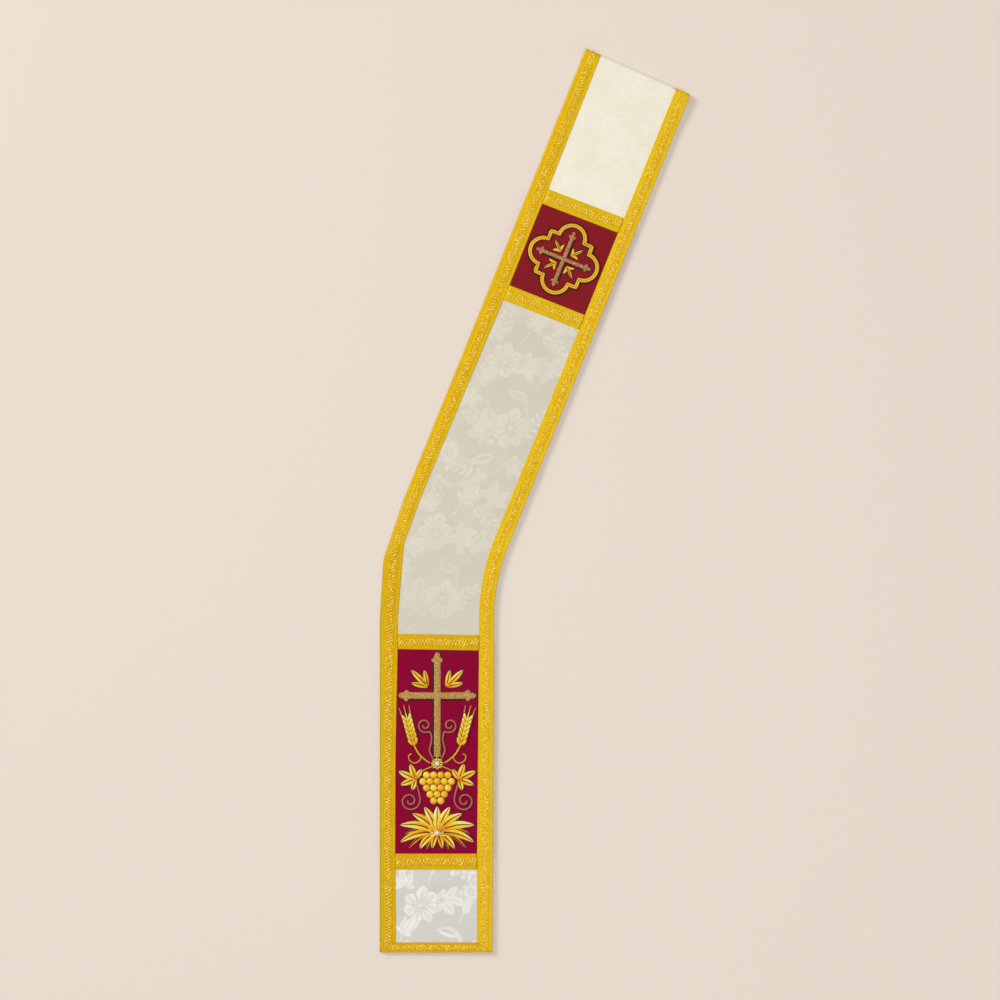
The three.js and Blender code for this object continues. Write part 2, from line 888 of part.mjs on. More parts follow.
for (const { side, sign } of SIDES) {
  add(
    "vine_leaf_" + side,
    "gold_thread",
    leafFan(
      "lower",
      vector(sign * VINE_LEAF.x, VINE_LEAF.y),
      LEAF_LOBES.map(({ spread, length, width }) => ({
        angle: sign * VINE_LEAF.angle + spread,
        length: length * VINE_LEAF.size,
        width: width * VINE_LEAF.size,
      })),
      1.8,
    ),
  );
  add(
    "corner_spray_" + side,
    "gold_thread",
    leafFan(
      "lower",
      vector(sign * SPRAY.x, SPRAY.y),
      SPRAY_LEAVES.map(({ spread, length, width }) => ({
        angle: sign * SPRAY.angle + spread,
        length,
        width,
      })),
      1.4,
    ),
  );
  add(
    "tendril_low_" + side,
    "antique_thread",
    stroke(
      "lower",
      curl(sign, { x: 34, y: -61, outer: 12, inner: 2.4, turns: 1.45, from: 200 }),
      [2.2],
      1.1,
    ),
  );
  add(
    "tendril_high_" + side,
    "antique_thread",
    stroke(
      "lower",
      curl(sign, { x: 15.5, y: 33, outer: 9, inner: 2.2, turns: 1.3, from: 255 }),
      [2],
      1.1,
    ),
  );
  const stalk = curved(
    [
      [9, -14],
      [15, -10],
      [22.5, -3],
      [EAR.x, EAR.y],
    ].map(([x, y]) => [sign * x, y]),
    12,
  );
  const root = vector(sign * EAR.x, EAR.y);
  const lean = sign * EAR.lean;
  const grains = [-1, 1].flatMap((row) =>
    Array.from({ length: EAR.grains }, (_, i) => {
      const start = vector(0, 2 + i * EAR.pitch)
        .rotateAround(vector(0, 0), -THREE.MathUtils.degToRad(lean))
        .add(root);
      return stroke(
        "lower",
        petal(start, lean + row * GRAIN.spread, GRAIN.length, row * GRAIN.bow, 4),
        [1.4, GRAIN.width, 0.6],
        1.5,
      );
    }),
  );
  const spine = petal(root, lean, EAR.length, 0, 4);
  const tip = stroke("lower", spine, [2.2, 2.8, 0.8], 1.3);
  const stem = stroke("lower", stalk, [2.2], 1.2);
  add("wheat_ear_" + side, "gold_thread", united([stem, tip, ...grains]));
}

export default stole;
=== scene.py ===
import math

import bmesh
import bpy
import numpy as np
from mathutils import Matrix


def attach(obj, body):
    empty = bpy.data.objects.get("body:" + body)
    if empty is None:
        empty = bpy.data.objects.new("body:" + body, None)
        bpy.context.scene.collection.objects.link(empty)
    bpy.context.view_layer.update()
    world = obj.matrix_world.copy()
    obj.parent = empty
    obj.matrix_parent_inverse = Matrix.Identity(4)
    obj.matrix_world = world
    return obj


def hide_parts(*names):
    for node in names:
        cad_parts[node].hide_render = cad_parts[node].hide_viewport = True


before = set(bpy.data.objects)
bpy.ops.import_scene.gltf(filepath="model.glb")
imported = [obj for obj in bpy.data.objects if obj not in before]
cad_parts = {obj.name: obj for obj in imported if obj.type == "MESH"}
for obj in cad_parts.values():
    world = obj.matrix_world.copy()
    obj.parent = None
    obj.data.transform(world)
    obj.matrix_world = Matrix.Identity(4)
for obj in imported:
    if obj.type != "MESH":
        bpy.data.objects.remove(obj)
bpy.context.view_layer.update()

# The table top that the stole lies on, the soft light over it, and the camera that
# looks straight down. A long lens keeps the far end of the band the same size.
scene = bpy.context.scene
scene.view_settings.view_transform = "Standard"


def connect(made, feed):
    """Feeds a node's sockets, by name or number, with values, links or whole nodes."""
    for socket, value in feed.items():
        if isinstance(value, bpy.types.Node):
            value = value.outputs[0]
        if isinstance(value, bpy.types.NodeSocket):
            made.id_data.links.new(value, made.inputs[socket])
        else:
            made.inputs[socket].default_value = value


def node(tree, kind, feed=(), **named):
    """Adds a node of a kind, or one that holds a node group. Names with a capital feed
    its sockets, and the other names are its settings."""
    if isinstance(kind, str):
        full = [start + kind for start in ("ShaderNode", "GeometryNode", "FunctionNode", "")]
        made = tree.nodes.new(next(name for name in full if hasattr(bpy.types, name)))
    else:
        made = tree.nodes.new("ShaderNodeGroup")
        made.node_tree = kind
    for name, value in named.items():
        if name[0].islower():
            setattr(made, name, value)
    connect(made, dict(feed))
    connect(made, {k.replace("_", " "): v for k, v in named.items() if k[0].isupper()})
    return made


def new_material(name):
    made = bpy.data.materials.new(name)
    made.use_nodes = True
    made.node_tree.nodes.clear()
    return made, made.node_tree


def shaded(tree, **sockets):
    node(tree, "OutputMaterial", Surface=node(tree, "BsdfPrincipled", **sockets))


def placed(name, data):
    """An object of this name in the scene, for a mesh, a light or a camera."""
    made = bpy.data.objects.new(name, data)
    scene.collection.objects.link(made)
    return made


table_top = bpy.data.meshes.new("table_top")
corners = [(x, y, -0.0004) for x, y in ((-16, -16), (16, -16), (16, 16), (-16, 16))]
table_top.from_pydata(corners, [], [(0, 1, 2, 3)])
table = placed("table_top", table_top)
table_paint, tree = new_material("table_paint")
shaded(tree, Base_Color=(0.85, 0.765, 0.69, 1), Roughness=0.85)
table_top.materials.append(table_paint)

for name, place, size, watts, tint in (
    ("window_light", (-4.93, 3.23, 3.4), 2.04, 237, (1, 0.98, 0.95)),
    ("ceiling_light", (0.6, -0.8, 4.2), 3.2, 59, (1, 0.985, 0.96)),
    ("low_light", (3.9, -3.7, 2.7), 2.04, 26, (1, 0.95, 0.88))
):
    lamp = bpy.data.lights.new(name, "AREA")
    lamp.energy, lamp.size, lamp.color = watts, size, tint
    holder = placed(name, lamp)
    holder.location = place
    holder.rotation_mode = "QUATERNION"
    holder.rotation_quaternion = (-holder.location).to_track_quat("-Z", "Y")

room = bpy.data.worlds.new("room")
room.use_nodes = True
connect(room.node_tree.nodes["Background"], {0: (1, 0.97, 0.94, 1), 1: 0.4})
scene.world = room

PHOTO_WIDTH = 1.2444
lens = bpy.data.cameras.new("overhead")
lens.lens, lens.sensor_width, lens.clip_end = 100, 36, 50
scene.camera = placed("overhead", lens)
scene.camera.location = (-0.0439, 0.0003, PHOTO_WIDTH * lens.lens / 36 + 0.005)

# The back half: a band of white damask with galloon along both sides and the hem.
# It lies face down under the front half, flat on the table, so it is cut first and
# the whole band's cut is worked out here, in millimetres from the hem.
BAND, LOWER_LEG, UPPER_LEG = 140.6, 476.0, 670.0
BEND, INNER_RADIUS, PINCH = math.radians(22), 250.0, 4.6
HEM_TAPER, FOLD_SKEW, HEM_GALLOON = 1.8, 1.8, 12.5
CLOTH, GAP, PEEK = 1.8, 0.3, 1.2
RISE, RISE_REACH, FOLD_CENTRE, FOLD_TAIL = 2.4, 60.0, 4.2, 14.0
FOLD_AT = LOWER_LEG + UPPER_LEG
TANGENT = (INNER_RADIUS + BAND / 2) * math.tan(BEND / 2)
BEND_START, BEND_END = LOWER_LEG - TANGENT, LOWER_LEG + TANGENT
FRONT_Z = CLOTH + GAP
TRIM_Z = FRONT_Z + CLOTH + GAP
FORWARD = np.array([math.sin(BEND), math.cos(BEND)])
SIDEWAYS = np.array([math.cos(BEND), -math.sin(BEND)])
HIP_CORNER = np.array([
    -BAND / 2 + PINCH * math.cos(BEND / 2), BAND / 2 * math.tan(BEND / 2) - PINCH * math.sin(BEND / 2)
])
LEFT_MARGIN = (
    (0, 123, 250, 376, 440, 560, 760, 830, 950, 1146),
    (18.6, 17.9, 18.4, 21, 21, 17, 19.5, 20.8, 20.6, 19)
)
RIGHT_MARGIN = ((0, 123, 376, 540, 1146), (18.9, 19.6, 18.3, 18.8, 19))
# name, near edge, far edge, and how far the right end drops in degrees
CROSS_BANDS = (
    ("galloon_across_hem", 103.3, 123.0, 0.0), ("galloon_across_hip", 376.5, 395.7, 1.0),
    ("galloon_across_chest", 819.0, 838.8, -0.3), ("galloon_across_shoulder", 948.4, 968.2, -1.0)
)
SEAMS = [(low + high) / 2 for _, low, high, _ in CROSS_BANDS]


def band_edges(at, skew=None):
    """Both edges of the band at a distance from the hem, about the bend point."""
    if skew is None:
        skew = np.interp(at, [BEND_END, SEAMS[2], SEAMS[3], FOLD_AT], [0, -0.3, -1, FOLD_SKEW])
    drop = BAND / 2 * math.tan(math.radians(skew))
    if at <= BEND_START:
        taper = HEM_TAPER * (1 - at / BEND_START)
        y = at - LOWER_LEG
        return np.array([-BAND / 2, y + drop]), np.array([BAND / 2 - taper, y - drop])
    if at >= BEND_END:
        centre = FORWARD * (at - LOWER_LEG)
        side = SIDEWAYS * BAND / 2 - FORWARD * drop
        return centre - side, centre + side
    share = (at - BEND_START) / (BEND_END - BEND_START)
    turn = BEND * share
    right = np.array([
        BAND / 2 + INNER_RADIUS * (1 - math.cos(turn)), -TANGENT + INNER_RADIUS * math.sin(turn)
    ])
    start, end = band_edges(BEND_START)[0], band_edges(BEND_END)[0]
    if share < 0.5:
        return start + (HIP_CORNER - start) * share * 2, right
    return HIP_CORNER + (end - HIP_CORNER) * (share * 2 - 1), right


def window_edges(at, allowance=0.0, skew=None):
    """The inner edges of both side galloons, with an allowance into the window."""
    left, right = band_edges(at, skew)
    inward = (right - left) / np.linalg.norm(right - left)
    return (
        left + inward * (np.interp(at, *LEFT_MARGIN) + allowance),
        right - inward * (np.interp(at, *RIGHT_MARGIN) + allowance)
    )


MIDDLE = np.array([
    (-BAND / 2 - PEEK + band_edges(FOLD_AT)[1][0]) / 2, (-LOWER_LEG + band_edges(FOLD_AT)[0][1]) / 2
])


def stations(low, high, step):
    """Distances from low to high, with the bend's ends and middle among them."""
    marks = [m for m in (BEND_START, LOWER_LEG, BEND_END) if low + 1 < m < high - 1]
    ends = [low, *marks, high]
    found = [low]
    for a, b in zip(ends, ends[1:]):
        fine = step / 4 if b > BEND_START and a < BEND_END else step
        found += list(np.linspace(a, b, max(1, round((b - a) / fine)) + 1)[1:])
    return found


def rail(rows):
    """The path of a strip of cloth. A row holds the two edge points, the height of
    the strip's underside and the way it faces: sideways along the band, and up."""
    first = np.array([[*(a - MIDDLE), z] for a, b, z, way in rows], float)
    second = np.array([[*(b - MIDDLE), z] for a, b, z, way in rows], float)
    ways = np.array([way for a, b, z, way in rows], float)
    middle = (first + second) / 2
    run = np.r_[0, np.cumsum(np.linalg.norm(np.diff(middle, axis=0), axis=1))]
    return np.c_[run, first, second, ways]


def lay(path, along, across, up):
    """Moves points of a flat strip to where it lies, in metres. along and up are in
    millimetres, and across is the share of the way from one edge to the other."""
    column = [np.interp(along, path[:, 0], path[:, k]) for k in range(1, 10)]
    a, b, way = np.stack(column[0:3]), np.stack(column[3:6]), np.stack(column[6:9])
    spot = (a + (b - a) * across + way * up).T
    spot[:, 2] = np.maximum(spot[:, 2], 0)
    return spot * 0.001


def mark(mesh, name, values):
    """Keeps a number, or a row of three, with every point of a mesh."""
    wide = values.ndim > 1
    kept = mesh.attributes.new(name, "FLOAT_VECTOR" if wide else "FLOAT", "POINT")
    kept.data.foreach_set("vector" if wide else "value", values.astype(np.float32).ravel())


def rework(mesh, change):
    """Changes the faces of a mesh, or its edges and points."""
    work = bmesh.new()
    work.from_mesh(mesh)
    change(work)
    work.to_mesh(mesh)
    work.free()


def turn_out(work):
    bmesh.ops.recalc_face_normals(work, faces=work.faces)


def joined(number):
    """The faces of a closed tube, from the numbers of the points of each ring of it."""
    after = np.roll(number, -1, axis=1)
    sides = np.stack([number[:-1], after[:-1], after[1:], number[1:]], -1)
    return [*sides.reshape(-1, 4).tolist(), number[0, ::-1].tolist(), number[-1].tolist()]


def strip_mesh(name, path, step, across, lift):
    """A strip of cloth: its face follows lift, its back is plain, its rim closed. Its
    rows are about a step apart, and across holds the columns as shares of its width."""
    along = np.linspace(0, path[-1, 0], max(2, int(path[-1, 0] / step)))
    rows, columns = len(along), len(across)
    a, s = np.meshgrid(along, across, indexing="ij")
    top = lay(path, a.ravel(), s.ravel(), lift(a, s).ravel())
    a2, s2 = np.meshgrid(along, across[[0, -1]], indexing="ij")
    under = lay(path, a2.ravel(), s2.ravel(), np.zeros(a2.size))
    number = np.arange(rows * columns).reshape(rows, columns)
    low = rows * columns + np.arange(rows * 2).reshape(rows, 2)
    faces = joined(np.c_[number, low[:, ::-1]])
    mesh = bpy.data.meshes.new(name)
    mesh.from_pydata(np.r_[top, under].tolist(), [], faces)
    wide = np.linalg.norm((path[:, 4:7] - path[:, 1:4]), axis=1)
    width = np.interp(a, path[:, 0], wide)
    run = np.r_[a.ravel(), a2.ravel()]
    beside = np.r_[(s * width).ravel(), (s2 * np.repeat(width[:, :1], 2, 1)).ravel()]
    mark(mesh, "cut", np.c_[run, beside, 0 * run])
    rework(mesh, turn_out)
    mesh.shade_smooth()
    return placed(name, mesh)


def turned(x, y, angle):
    """Both distances of points as seen from axes that are turned by an angle."""
    c, s = math.cos(angle), math.sin(angle)
    return x * c + y * s, y * c - x * s


def woven_leaf(u, v, length, width, blunt=1.0, bow=0.0, ribs=0.0):
    """How far inside a leaf a point lies. The leaf runs from the origin along u."""
    share = np.clip(u / length, 0, 1)
    off = np.abs(v - bow * np.sin(np.pi * share))
    half = width / 2 * np.sin(np.pi * share**blunt) ** 0.75
    inside = np.where((u > 0) & (u < length), half - off, -9)
    if width > 5:
        inside = np.minimum(inside, np.where(share < 0.8, off - 0.3, 9))
    if ribs:
        inside = np.minimum(inside, np.abs((u - 0.9 * off) % ribs - ribs / 2) - 0.15)
    return inside


def fanned(u, v, leaves):
    """Several leaves from one root: an angle in degrees, then as for woven_leaf."""
    best = np.full(u.shape, -9.0)
    for angle, *leaf in leaves:
        best = np.maximum(best, woven_leaf(*turned(u, v, math.radians(angle)), *leaf))
    return best


def woven_bloom(u, v, size, petals=7):
    """An open flower: round petals of uneven length about a ring of stamens."""
    reach, bearing = np.hypot(u, v), np.arctan2(v, u)
    number = np.floor((bearing + np.pi / petals) / (2 * np.pi / petals))
    angle = bearing - number * 2 * np.pi / petals
    full = 1 - 0.2 * np.abs(np.sin(2.1 * (number % petals) + size))
    along, aside = reach * np.cos(angle) - 0.2 * size, reach * np.sin(angle)
    aside = aside - 0.05 * along * np.sin(5 * number)
    petal = woven_leaf(along / full, aside, 0.8 * size, 3.7 * size / petals, 1.45)
    notch = np.abs(aside) + 0.35 * (0.86 * size * full - along)
    petal = np.minimum(petal, np.where(along > 0.5 * size, notch, 9))
    if size > 20:
        veins = np.abs(np.abs(aside) - 0.15 * along) - 0.12
        petal = np.minimum(petal, np.where(along < 0.55 * size, veins, 9))
    return np.maximum(petal, 0.12 * size - reach)


def woven_spray(u, v, size):
    leaves = ((0, 1, 0.38), (44, 0.85, 0.34), (-44, 0.85, 0.34), (92, 0.5, 0.26))
    rows = [(a, size * b, size * c, 1.2, 0, 5) for a, b, c in (*leaves, (-92, 0.5, 0.26))]
    return fanned(u, v, rows)


def woven_ear(u, v, size):
    """A wheat ear on its stalk, with a long awn from every grain."""
    best = np.where((u > 0) & (u < size * 0.9), 0.45 - np.abs(v), -9)
    for k in range(6):
        for side in (-1, 1):
            along, aside = turned(u - size * (0.24 + 0.1 * k), v, 0.36 * side)
            grain = woven_leaf(along, aside, size * 0.2, size * 0.1)
            awn = np.where((along > 0) & (along < size * 0.46), 0.3 - np.abs(aside), -9)
            best = np.maximum(best, np.maximum(grain, awn))
    return best


def woven_berries(u, v, size):
    best = np.where((u > -size) & (u < 0), 0.5 - np.abs(v - 0.003 * u**2), -9)
    for x, y in ((0, 0), (0.5, 0.42), (0.55, -0.4), (0.1, 0.75), (1, 0), (0.15, -0.75)):
        away = np.hypot(u - x * size, v - y * size)
        best = np.maximum(best, np.minimum(0.24 * size - away, np.abs(away - 1.6) - 0.1))
    return best


def woven_bud(u, v, size):
    cup = ((0, size, size * 0.42, 1.3, 0, 0), (24, size * 0.9, size * 0.2, 1.2, 2, 0))
    cup += ((-24, size * 0.9, size * 0.2, 1.2, -2, 0), (70, size * 0.45, size * 0.16))
    return fanned(u, v, (*cup, (-70, size * 0.45, size * 0.16), (180, size * 0.9, 1.6)))


def woven_blade(u, v, size):
    """Two long narrow leaves that arch away from one root."""
    return fanned(u, v, ((0, size, 5.4, 0.9, size * 0.26), (26, size * 0.7, 4.6, 1, -6)))


def woven_stem(u, v, size):
    """A thin arching stem with small leaves in pairs along it."""
    arch = 0.22 * size * np.sin(np.pi * np.clip(u / size, 0, 1))
    best = np.where((u > 0) & (u < size), 0.6 - np.abs(v - arch), -9)
    pair = ((50, size * 0.22, size * 0.1, 1.2), (-50, size * 0.22, size * 0.1, 1.2))
    for k in range(1, 6):
        rise = 0.22 * size * math.sin(math.pi * k / 6)
        best = np.maximum(best, fanned(u - size * k / 6, v - rise, pair))
    return best


# Where the woven figures lie in one repeat: across, along, angle, size
FIGURES = (
    (woven_stem, -22, 218, -75, 56), (woven_stem, 14, 132, 168, 50), (woven_stem, 46, 96, -118, 54),
    (woven_stem, -34, 32, 12, 52), (woven_stem, 40, 184, 62, 50), (woven_stem, 8, 88, -28, 44),
    (woven_blade, -26, 92, -152, 40), (woven_berries, 24, 82, 40, 12), (woven_stem, -52, 160, -70, 44),
    (woven_bloom, 20, 198, 0, 27), (woven_spray, -8, 184, 170, 30), (woven_blade, 12, 158, 195, 46),
    (woven_ear, 22, 146, -128, 56), (woven_spray, 34, 158, -30, 24), (woven_bloom, -40, 140, 0, 15),
    (woven_bud, -2, 92, 70, 30), (woven_spray, 36, 102, 110, 30), (woven_berries, -34, 98, 120, 13),
    (woven_bloom, -20, 42, 40, 26), (woven_spray, 6, 50, -10, 30), (woven_ear, 28, 22, 68, 52),
    (woven_spray, -42, 66, 95, 24), (woven_bloom, 44, 60, 0, 12), (woven_blade, -2, 14, -40, 44),
    (woven_bud, -42, 8, 60, 26), (woven_berries, -36, 190, 60, 12), (woven_spray, -46, 222, -60, 26)
)
REPEAT = 230.0


def woven_figure(x, y):
    """How far a point of the damask lies inside a woven figure, from 0 to 1."""
    x, y = x + 1.5 * np.sin(y / 6.3 + x / 17), y + 1.4 * np.sin(x / 5.6 - y / 21)
    best = np.full(x.shape, -9.0)
    for shape, at_x, at_y, angle, size in FIGURES:
        for turn in range(math.floor(y.min() / REPEAT) - 1, math.ceil(y.max() / REPEAT) + 1):
            dx, dy = x - at_x, y - at_y - turn * REPEAT
            near = np.abs(dx) + np.abs(dy) < size * 2.2
            if not near.any():
                continue
            inside = shape(*turned(dx[near], dy[near], math.radians(angle)), size)
            best[near] = np.where(inside > -1.2, inside, best[near])
    return np.clip(best / 1.8 + 0.5, 0, 1)


def weave_damask(piece, tilt, fade=((0, 1), (1, 1))):
    """Works the figures into a piece whose warp leans by tilt from the lower leg.
    fade holds distances from the bend along the cloth, and how clear they show. This is
    painted light: the figures are painted fainter where less sheen would show them."""
    count = len(piece.data.vertices)
    spot = np.empty(count * 3)
    piece.data.vertices.foreach_get("co", spot)
    x, y = turned(*(spot.reshape(-1, 3)[:, :2] * 1000 + MIDDLE).T, -tilt)
    mark(piece.data, "figure", woven_figure(x, y) * np.interp(y, *fade))
    mark(piece.data, "grain", np.c_[x, y, np.zeros(count)])


def new_group(kind, name, outputs=("Geometry",), **inputs):
    """A node group of a kind. Each input is a number or the name of what it takes."""
    tree = bpy.data.node_groups.new(name, kind + "NodeTree")
    for label, value in inputs.items():
        takes = value if isinstance(value, str) else "Float"
        socket = tree.interface.new_socket(
            label.replace("_", " "), in_out="INPUT", socket_type="NodeSocket" + takes
        )
        if takes == "Float":
            socket.default_value = value
    gives = "NodeSocketFloat" if kind == "Shader" else "NodeSocketGeometry"
    for label in outputs:
        tree.interface.new_socket(label, in_out="OUTPUT", socket_type=gives)
    return tree, node(tree, "NodeGroupInput").outputs, node(tree, "NodeGroupOutput")


def sum_of(tree, operation, *values):
    return node(tree, "Math", enumerate(values), operation=operation).outputs[0]


def ranged(tree, value, low, high, to_low=0.0, to_high=1.0):
    """A value moved from one range to another, and held at the ends."""
    ends = {"From Min": low, "From Max": high, "To Min": to_low, "To Max": to_high}
    return node(tree, "MapRange", {"Value": value, **ends})


# Threads that cross over and under: a height for the bump, and uneven yarn colour
thread_weave, given, made = new_group(
    "Shader", "thread_weave", ("Height", "Yarn"), Vector="Vector", Threads_per_mm=2.2, Slub=0.5
)
tree = thread_weave
parts = node(tree, "SeparateXYZ", Vector=given["Vector"]).outputs
rate = sum_of(tree, "MULTIPLY", given["Threads per mm"], math.pi)
waves = [sum_of(tree, "SINE", sum_of(tree, "MULTIPLY", parts[axis], rate)) for axis in (0, 1)]
yarns = []
for scale in ((2.4, 0.16, 1), (0.16, 2.4, 1)):
    stretch = node(tree, "Mapping", Vector=given["Vector"], Scale=scale)
    yarns.append(node(tree, "TexNoise", Vector=stretch, Scale=1.0, Detail=3.0))
evened = sum_of(tree, "MULTIPLY_ADD", sum_of(tree, "ADD", *yarns), 0.5, 0.0)
over = sum_of(tree, "MULTIPLY", *waves)
slubbed = sum_of(tree, "MULTIPLY_ADD", evened, given["Slub"], over)
connect(made, {"Height": slubbed, "Yarn": evened})

# Soft wear and handling: broad patches where cloth is a little duller or darker. Small patches of the
# same noise make the painted glints on the gilt.
wear_and_glint_patch, given, made = new_group(
    "Shader", "wear_and_glint_patches", ("Patch",), Vector="Vector", Patch_size_mm=60.0
)
tree = wear_and_glint_patch
shrunk = sum_of(tree, "DIVIDE", 1.0, given["Patch size mm"])
scaled = node(tree, "VectorMath", Vector=given["Vector"], Scale=shrunk, operation="SCALE")
patch = node(tree, "TexNoise", Vector=scaled, Scale=1.0, Detail=4.0, Roughness=0.6)
connect(made, {"Patch": ranged(tree, patch, 0.3, 0.7)})


def mixed(tree, share, a, b, blend="MIX"):
    feed = {0: share, 6: a, 7: b}
    return node(tree, "Mix", feed, data_type="RGBA", blend_type=blend).outputs[2]


def worn(tree, color, share, darkest):
    """A colour that is darker where share is low."""
    shade = mixed(tree, share, (*darkest, 1), (1, 1, 1, 1))
    return mixed(tree, 1.0, color, shade, "MULTIPLY")


def linear(r, g, b):
    """A colour as seen on a screen, 0 to 255, as the linear one a shader needs."""
    part = lambda c: c / 12.92 if c <= 0.04045 else ((c + 0.055) / 1.055) ** 2.4
    return (part(r / 255), part(g / 255), part(b / 255), 1)


def marked(tree, name, output="Vector"):
    return node(tree, "Attribute", attribute_name=name).outputs[output]


def bumped(tree, height, strength, distance, **normal):
    return node(tree, "Bump", Height=height, Strength=strength, Distance=distance, **normal)


def damask_cloth(name, ground, figure):
    """White silk damask: dull ground, smoother and lighter woven figures."""
    cloth, tree = new_material(name)
    grain, woven = marked(tree, "grain"), marked(tree, "figure", "Fac")
    weave = node(tree, thread_weave, Vector=grain, Threads_per_mm=2.3, Slub=1.1)
    wear = node(tree, wear_and_glint_patch, Vector=grain, Patch_size_mm=55.0)
    sunk = node(tree, wear_and_glint_patch, Vector=grain, Patch_size_mm=19.0)
    shown = sum_of(tree, "MULTIPLY", woven, ranged(tree, sunk, 0, 1, 0.5, 1.1))
    tone = mixed(tree, shown, linear(*ground), linear(*figure))
    streak = ranged(tree, weave.outputs["Yarn"], 0.35, 0.65)
    tone = worn(tree, worn(tree, tone, streak, (0.93, 0.93, 0.92)), wear, (0.95, 0.945, 0.93))
    raised = bumped(tree, woven, 0.3, 0.0002)
    shaded(
        tree, Base_Color=tone, Roughness=ranged(tree, woven, 0, 1, 0.7, 0.48),
        Normal=bumped(tree, weave, 0.3, 0.00008, Normal=raised), Sheen_Weight=0.1, Sheen_Roughness=0.4,
        Specular_IOR_Level=0.3
    )
    return cloth


def finish_piece(piece, material, slot, *nodes):
    """Makes a piece ride with the stole and stand for its solids. It is dressed in a
    material, unless its Geometry Nodes have done that."""
    if material:
        piece.data.materials.clear()
        piece.data.materials.append(material)
    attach(piece, "root")
    if nodes:
        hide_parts(*nodes)
    return piece


back_cloth = damask_cloth("back_damask_silk", (206, 201, 184), (222, 217, 202))
tail_end = FOLD_AT - FOLD_TAIL
DOWN = (0, 0, -1)


def face_down(edges):
    """Rows of the back half, which shows a little to the left of the front half."""
    shift = np.array([PEEK, 0])
    return rail([(b - shift, a - shift, CLOTH, DOWN) for a, b in edges])


def back_rail(sides):
    low, high = HEM_GALLOON + GAP, tail_end - GAP
    return face_down([sides(at) for at in stations(low, high, 40)])


def plain_face(a, s):
    return np.full(a.shape, CLOTH)


path = back_rail(lambda at: window_edges(at, GAP))
back = strip_mesh("back_damask", path, 1.5, np.linspace(0, 1, 70), plain_face)
weave_damask(back, BEND)
finish_piece(back, back_cloth, "damask", "back_damask")

# The front half's damask: the shoulder panel, which goes round the fold, the long
# panel with the bend at the hip, and the hem panel. Each is lined and interlined, so
# it is a little full between its galloons and dips where they are sewn down.
# Painted light: the three panels are one white damask in lit and shaded copies. The shoulder panel is
# painted lightest, with its figures nearly lost in the sheen, and the long and hem panels have darker
# grounds.
front_cloth = {
    "damask_shoulder": damask_cloth("shoulder_damask_silk", (252, 247, 228), (255, 252, 237)),
    "damask_long": damask_cloth("long_damask_silk", (224, 219, 204), (238, 233, 219)),
    "damask_hem": damask_cloth("hem_damask_silk", (223, 222, 217), (255, 255, 253))
}
UP = (0, 0, 1)


def rise_at(at):
    share = np.clip((at - FOLD_AT + RISE_REACH) / RISE_REACH, 0, 1)
    return RISE * share**3 * (share * (share * 6 - 15) + 10)


def front_rows(sides, low, high, z, step=40):
    return [(*sides(at), z + rise_at(at), UP) for at in stations(low, high, step)]


def fold_rows(sides, inner, centre, thicker=0.0):
    """Round the shoulder fold and on to the short tail on the underside."""
    rows = []
    for turn in np.linspace(0, math.pi, 17):
        back_by = FOLD_CENTRE - inner * math.sin(turn)
        shift = np.array([PEEK * turn / math.pi, 0])
        a, b = (p - shift for p in sides(FOLD_AT - back_by))
        size = 1 + thicker * (1 - math.cos(turn)) / 2
        out = (*(FORWARD * math.sin(turn) * size), math.cos(turn) * size)
        rows.append((a, b, centre + inner * math.cos(turn), out))
    a, b = (p - np.array([PEEK, 0]) for p in sides(tail_end))
    rows.append((a, b, centre - inner, (0, 0, -1 - thicker)))
    return rows


def fullness(a, s, length, seed):
    """How much the panel stands proud of its flat cut, in millimetres. It rises over
    the first stretch in from the galloon at its sides and ends."""
    rng = np.random.default_rng(seed)
    rise_over, under_side, under_end = 30, 0.14, 10
    ride = np.minimum(np.minimum(s - under_side, 1 - under_side - s) * BAND, rise_over)
    ends = np.minimum(np.minimum(a - under_end, length - under_end - a), rise_over)
    inside = np.clip(np.minimum(ride, ends) / rise_over, 0, 1)
    full = 0.75 * np.sin(inside * np.pi / 2)
    for wave in (95, 60, 38, 24):
        tilt = rng.uniform(-0.6, 0.6)
        phase = rng.uniform(0, 6.28, 2)
        lengthwise = np.sin(2 * np.pi * (a + tilt * s * 140) / wave + phase[0])
        crosswise = np.sin(2 * np.pi * (s * 140) / (wave * 1.4) + phase[1])
        full += inside * wave * 0.0035 * lengthwise * crosswise
    near = np.clip(ride / 7, 0, 1)
    pull = np.sin(2 * np.pi * a / 9.5 + 2 * np.sin(a / 13)) * near * (1 - near)
    return full + 0.5 * pull * (ends > 0)


def across_columns(step):
    """Shares of the band's width: fine in the window, coarse under the galloon."""
    fine = np.linspace(0.112, 0.888, int(0.776 * BAND / step))
    return np.r_[0, 0.06, fine, 0.94, 1]


